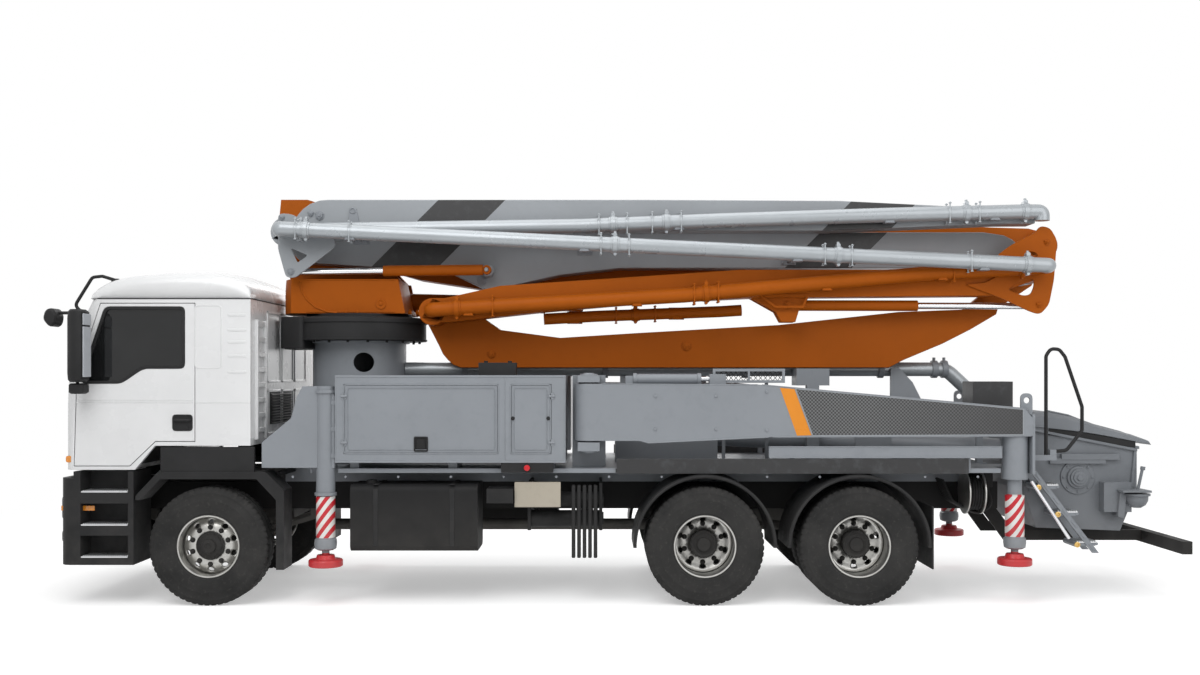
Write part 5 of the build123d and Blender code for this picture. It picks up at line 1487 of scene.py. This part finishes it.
SLEW_BACK = 1.138
SLEW_FOOT = place(SLEW_BACK, 0.0, 0.0)


def turret_details():
    """Bolt rows, curved crease and boss of the turning base, the cover under it, the pedestal's flanges."""
    form = Form()
    for index in range(14):
        angle = -1.05 + 2.1 * index / 13
        for side in (1, -1):
            spot = place(SLEW_BACK + 0.7 * sin(angle), side * 0.7 * cos(angle) * 0.6, 2.69)
            form.bar(spot, spot + Vector((0, 0, 0.03)), 0.02, 6)
            form.bar(spot + Vector((0, 0, 0.03)), spot + Vector((0, 0, 0.046)), 0.011, 8)
    form.turned([(0.0, 0.052), (0.01, 0.05), (0.01, 0.034), (0.004, 0.03), (0.004, 0.0)],
                place(1.425, 0.43, 2.78), "Y", 32)
    form.turned([(0.0, 0.016), (0.016, 0.014), (0.016, 0.0)], place(1.425, 0.43, 2.78), "Y", 20)
    crease = [place(back, 0.432, z) for back, z in ((0.64, 2.99), (0.66, 2.9), (0.71, 2.82), (0.79, 2.75),
                                                    (0.9, 2.705), (1.0, 2.695))]
    form.pipe(crease, 0.01, 0.05, 8)
    for z in (2.7, 3.008):
        form.prism([(0.7, z), (1.56, z), (1.56, z + 0.012), (0.7, z + 0.012)], (0.429, 0.436))
    form.piece("turret_fittings", "orange", "turret", bevel=0.002)
    form = Form()
    form.plan(rounded_outline([(0.45, 0.1), (0.45, 0.45), (0.69, 0.52), (0.76, 0.1)], 0.05), (2.35, 2.655))
    form.turned([(2.6, 0.661), (2.6, 0.672), (2.64, 0.672), (2.655, 0.655)], SLEW_FOOT, "Z", 72)
    form.turned([(2.43, 0.661), (2.43, 0.67), (2.446, 0.67), (2.446, 0.661)], SLEW_FOOT, "Z", 72)
    for index in range(20):
        angle = tau * index / 20
        spot = place(SLEW_BACK + 0.6 * cos(angle), 0.6 * sin(angle), 2.426)
        form.bar(spot, spot - Vector((0, 0, 0.02)), 0.014, 6)
    form.piece("slew_cover", "plastic", bevel=0.003)
    form = Form()
    for z in (1.21, 2.405):
        form.turned([(z, 0.458), (z, 0.495), (z + 0.022, 0.495), (z + 0.022, 0.458)], SLEW_FOOT, "Z", 64)
    form.piece("pedestal_flanges", "grey", bevel=0.003)


# ---------------------------------------------------------------- hopper and rear
LID = [(7.681, 1.755), (7.881, 1.743), (8.11, 1.695), (8.329, 1.609), (8.615, 1.533),
       (8.767, 1.476), (8.786, 1.43)]
LID_LOW = [(7.681, 1.6), (7.881, 1.58), (8.11, 1.555), (8.329, 1.52), (8.615, 1.466),
           (8.767, 1.44), (8.786, 1.428)]


def hopper_details():
    """Splash cover on the grid, rubber band, ribs, bearing steps and the clean-out of the hopper."""
    rings = []
    for y, drop in ((-0.665, 1.0), (-0.655, 0.45), (-0.6, 0.12), (-0.3, 0.02), (0.0, 0.0), (0.3, 0.02),
                    (0.6, 0.12), (0.655, 0.45), (0.665, 1.0)):
        top = [(b, z - (z - low) * drop * 0.8) for (b, z), (_, low) in zip(LID, LID_LOW)]
        rings.append([place(b, y, z) for b, z in top + [(b, z) for b, z in LID_LOW[::-1]]])
    Form().loft(rings).piece("splash_cover", "hopper", "hopper_grid", bevel=0.006, sharp=40)
    form = Form()
    for y in (-0.36, 0.36):
        crest = [place(b, y, z + 0.004) for b, z in LID[1:-1]]
        form.pipe(crest, 0.01, 0.05, 8)
    form.piece("splash_cover_ribs", "hopper", "hopper_grid")
    band = [(7.815, 1.59), (8.11, 1.552), (8.643, 1.462), (8.643, 1.4), (8.11, 1.482), (7.815, 1.522)]
    form = Form()
    for side in (1, -1):
        form.prism(band, span(side, 0.641, 0.655))
    form.piece("rubber_band", "plastic", bevel=0.003)
    form = Form()
    for side in (1, -1):
        low, high = HOPPER_SIDE, HOPPER_SIDE + 0.045
        form.prism([(7.929, 1.343), (8.481, 1.343), (8.481, 1.286), (7.929, 1.286)],
                   span(side, low - 0.001, high))
        form.prism([(7.585, 1.6), (8.655, 1.392), (8.655, 1.366), (7.585, 1.574)],
                   span(side, low - 0.001, low + 0.028))
        for foot, head in (((7.64, 0.98), (7.61, 1.56)), ((8.6, 0.95), (8.64, 1.37))):
            form.prism([(foot[0] - 0.012, foot[1]), (foot[0] + 0.012, foot[1]), (head[0] + 0.012, head[1]),
                        (head[0] - 0.012, head[1])], span(side, low - 0.001, low + 0.02))
        centre = place(8.093, side * low, 1.12)
        form.turned([(side * step, radius)
                     for step, radius in ((-0.001, 0.165), (0.014, 0.162), (0.016, 0.11), (0.04, 0.104),
                                          (0.042, 0.083))], centre, "Y", 48)
        form.turned([(side * step, radius)
                     for step, radius in ((0.059, 0.06), (0.072, 0.058), (0.074, 0.03), (0.088, 0.028),
                                          (0.088, 0.0))], centre, "Y", 40)
        for index in range(8):
            angle = tau * index / 8
            foot = centre + Vector((0.137 * cos(angle), side * 0.014, 0.137 * sin(angle)))
            form.bar(foot, foot + Vector((0, side * 0.012, 0)), 0.012, 6)
    form.turned([(-0.104, 0.0), (-0.1, 0.04), (-0.075, 0.078), (-0.035, 0.1), (0.01, 0.104), (0.014, 0.122),
                 (0.034, 0.122), (0.036, 0.0)], place(8.6, 0.775, 0.945), "Z", 40)
    form.prism([(8.42, 0.995), (8.69, 0.995), (8.69, 1.015), (8.42, 1.015)], (0.66, 0.9))
    form.prism([(8.419, 0.76), (8.48, 0.74), (8.504, 0.995), (8.44, 1.01)], (0.66, 0.79))
    form.bar(place(8.6, 0.8, 1.01), place(8.645, 0.8, 1.215), 0.014, 14)
    form.bar(place(8.645, 0.8, 1.2), place(8.65, 0.8, 1.233), 0.022, 14)
    form.piece("hopper_fittings", "hopper", bevel=0.003)


def ladder_details():
    """Slotted stringers, alloy treads with brass-capped tubes, the chromed strut and the handrail loop."""
    grey, alloy, brass = Form(), Form(), Form()
    for back, z in ((7.7, 1.05), (7.88, 0.8), (8.06, 0.52)):
        alloy.box((back - 0.085, back + 0.105), (0.7, 0.935), (z + 0.014, z + 0.024))
        for index in range(9):
            start = back - 0.08 + index * 0.021
            alloy.box((start, start + 0.01), (0.705, 0.93), (z + 0.024, z + 0.032))
        grey.bar(place(back - 0.09, 0.67, z), place(back - 0.09, 0.955, z), 0.026, 24)
        grey.bar(place(back + 0.1, 0.7, z + 0.004), place(back + 0.1, 0.935, z + 0.004), 0.014, 16)
        brass.turned([(0.0, 0.027), (0.012, 0.026), (0.014, 0.016), (0.006, 0.012), (0.006, 0.0)],
                     place(back - 0.09, 0.955, z), "Y", 28)
    for y in (0.682, 0.941):
        for index in range(7):
            share = (index + 0.5) / 7
            b, z = 7.575 + 0.58 * share, 1.199 - 0.759 * share
            grey.prism([(b - 0.03, z + 0.026), (b - 0.014, z + 0.036), (b + 0.03, z - 0.026),
                        (b + 0.014, z - 0.036)], (y - 0.004, y + 0.004))
    grey.box((7.5, 7.78), (0.9, 0.96), (1.3, 1.35))
    grey.box((7.72, 7.78), (0.905, 0.955), (1.34, 1.4))
    grey.piece("ladder_tubes", "grey", bevel=0.002)
    alloy.piece("ladder_treads", "tread_alloy")
    brass.piece("ladder_tube_ends", "brass")
    strut = Form().bar(place(7.54, 0.975, 1.11), place(7.89, 0.975, 0.58), 0.015, 16)
    strut.piece("ladder_strut", "chrome")
    rail = [place(back, 0.93, z) for back, z in ((7.691, 1.345), (7.691, 2.27), (7.735, 2.337),
                                                 (7.815, 2.33), (7.868, 2.262), (8.026, 1.798),
                                                 (8.026, 1.575), (7.881, 1.392), (7.75, 1.38))]
    Form().pipe(rail, 0.0165, 0.06, 16).piece("handrail_loop", "plastic")


def rear_details():
    """Tail lamps, mud flaps, the hose reel, valve block with hoses and the underrun beam's ends."""
    form = Form()
    centre = place(7.055, 0.76, 0.99)
    for start in (-0.08, 0.066):
        form.turned([(start, 0.03), (start, 0.205), (start + 0.014, 0.205), (start + 0.014, 0.03)], centre,
                    "X", 48)
    form.turned([(-0.08, 0.08), (0.08, 0.08)], centre, "X", 40)
    form.piece("hose_reel", "steel", bevel=0.002)
    form = Form()
    for turn in range(5):
        form.turned([(-0.062 + turn * 0.026 + step, 0.165 + bulge)
                     for step, bulge in ((0.0, -0.012), (0.006, 0.0), (0.013, 0.006), (0.02, 0.0),
                                         (0.026, -0.012))], centre, "X", 40)
    for index in range(6):
        y = 0.45 + index * 0.055
        form.pipe([place(7.18, y, 1.12), place(7.26, y + 0.02, 0.86), place(7.1, y + 0.05, 0.78),
                   place(6.88, y, 0.9), place(6.8, y - 0.05, 1.1)], 0.012, 0.12, 10)
    form.box((7.12, 7.24), (0.42, 0.8), (1.04, 1.19))
    for _, side in SIDES:
        form.box((6.56, 6.575), span(side, 0.66, HALF_WIDTH - 0.03), (0.33, 0.9))
        form.box((8.905, 8.912), span(side, 0.8, 1.2), (0.478, 0.578))
    form.piece("hoses_and_flaps", "plastic", bevel=0.002)
    for name, side in SIDES:
        for key, low, high, look in (("tail", 0.985, 1.185, "red_lens"), ("turn", 0.88, 0.975, "amber"),
                                     ("reverse", 0.81, 0.872, "clear_lens")):
            lamp = Form()
            lamp.box((8.903, 8.925), span(side, low, high), (0.49, 0.565))
            lamp.piece(f"{key}_lamp_{name}", look, "chassis", bevel=0.006)


BODY_PARTS = (side_box_details, arm_details, jack_feet, tank_details, deck_details, turret_details,
              hopper_details, ladder_details, rear_details)


# ---------------------------------------------------------------- light, floor and camera
def seen_directly(tree):
    """1 for the camera's rays and for those a mirror or glass sends on."""
    rays = tree.nodes.new("ShaderNodeLightPath")
    level = rays.outputs["Is Camera Ray"]
    for name in ("Is Glossy Ray", "Is Transmission Ray"):
        most = tree.nodes.new("ShaderNodeMath")
        most.operation = "MAXIMUM"
        tree.links.new(level, most.inputs[0])
        tree.links.new(rays.outputs[name], most.inputs[1])
        level = most.outputs[0]
    return level


FLOOR_REACH = 300.0
FLOOR_WHITE = 0.86
FADE = (6.5, 11.0)  # between these distances from the middle the floor turns into the white backdrop
NEAR_GLOW = 0.4  # what the camera sees added to the lit floor, so that only the shadow is darker than white
WORLD_LEVEL = 0.4
LOOK_AT = (0, 0, 1.6)
LAMPS = (
    # name, place, size, watts
    ("key", (3.5, 9.0, 9.5), 8.0, 760),
    ("fill", (-7.0, 8.0, 6.0), 8.0, 330),
    ("top", (0.0, 0.0, 12.0), 10.0, 560),
    ("far_side", (0.0, -11.0, 7.0), 9.0, 420),
)
CAMERA_PLACE = (0.142, 12.45, 2.095)
CAMERA_LENS, CAMERA_SENSOR, CAMERA_SHIFT = 37.2, 36.0, 0.031


def studio():
    """A white floor that fades into the backdrop and keeps the shadow, soft lamps, the side-on camera."""
    scene = bpy.context.scene
    scene.view_settings.view_transform = "Standard"
    floor_mesh = bpy.data.meshes.new("floor")
    corners = [(x * FLOOR_REACH, y * FLOOR_REACH, 0) for x, y in ((-1, -1), (1, -1), (1, 1), (-1, 1))]
    floor_mesh.from_pydata(corners, [], [(0, 1, 2, 3)])
    floor = bpy.data.objects.new("floor", floor_mesh)
    scene.collection.objects.link(floor)
    ground = Shader("pale_floor", Roughness=0.95, Specular_IOR_Level=0.0, Emission_Color=(1, 1, 1, 1))
    away = ground.node("ShaderNodeVectorMath", {0: ground.place}, operation="LENGTH").outputs["Value"]
    fade = ground.remap(away, *FADE)
    seen = seen_directly(ground.tree)
    ground.feed("Base Color", ground.mix(ground.maths("MULTIPLY", seen, fade),
                                         (FLOOR_WHITE,) * 3, (0, 0, 0)))
    ground.feed("Emission Strength", ground.maths("MULTIPLY", seen,
                                                  ground.remap(fade, 0.0, 1.0, NEAR_GLOW, 1.0)))
    floor_mesh.materials.append(ground.material)

    world = bpy.data.worlds.new("studio")
    world.use_nodes = True
    scene.world = world
    tree = world.node_tree
    back = tree.nodes["Background"]
    back.inputs["Color"].default_value = (1, 1, 1, 1)
    level = tree.nodes.new("ShaderNodeMapRange")
    level.inputs["To Min"].default_value = WORLD_LEVEL
    level.inputs["To Max"].default_value = 1.0
    tree.links.new(seen_directly(tree), level.inputs["Value"])
    tree.links.new(level.outputs["Result"], back.inputs["Strength"])

    centre = Vector(LOOK_AT)
    for name, spot, size, watts in LAMPS:
        data = bpy.data.lights.new(name, "AREA")
        data.size, data.energy = size, watts
        lamp = bpy.data.objects.new(name, data)
        lamp.location = spot
        lamp.rotation_euler = (centre - Vector(spot)).to_track_quat("-Z", "Y").to_euler()
        scene.collection.objects.link(lamp)

    data = bpy.data.cameras.new("camera")
    data.sensor_width, data.lens, data.shift_y = CAMERA_SENSOR, CAMERA_LENS, CAMERA_SHIFT
    camera = bpy.data.objects.new("camera", data)
    camera.location = CAMERA_PLACE
    camera.rotation_euler = (pi / 2, 0, pi)
    scene.collection.objects.link(camera)
    scene.camera = camera


dress_nodes()
wheels()
for make in CAB_BODY + CAB_PARTS + BOOM_PARTS + BODY_PARTS:
    make()
studio()
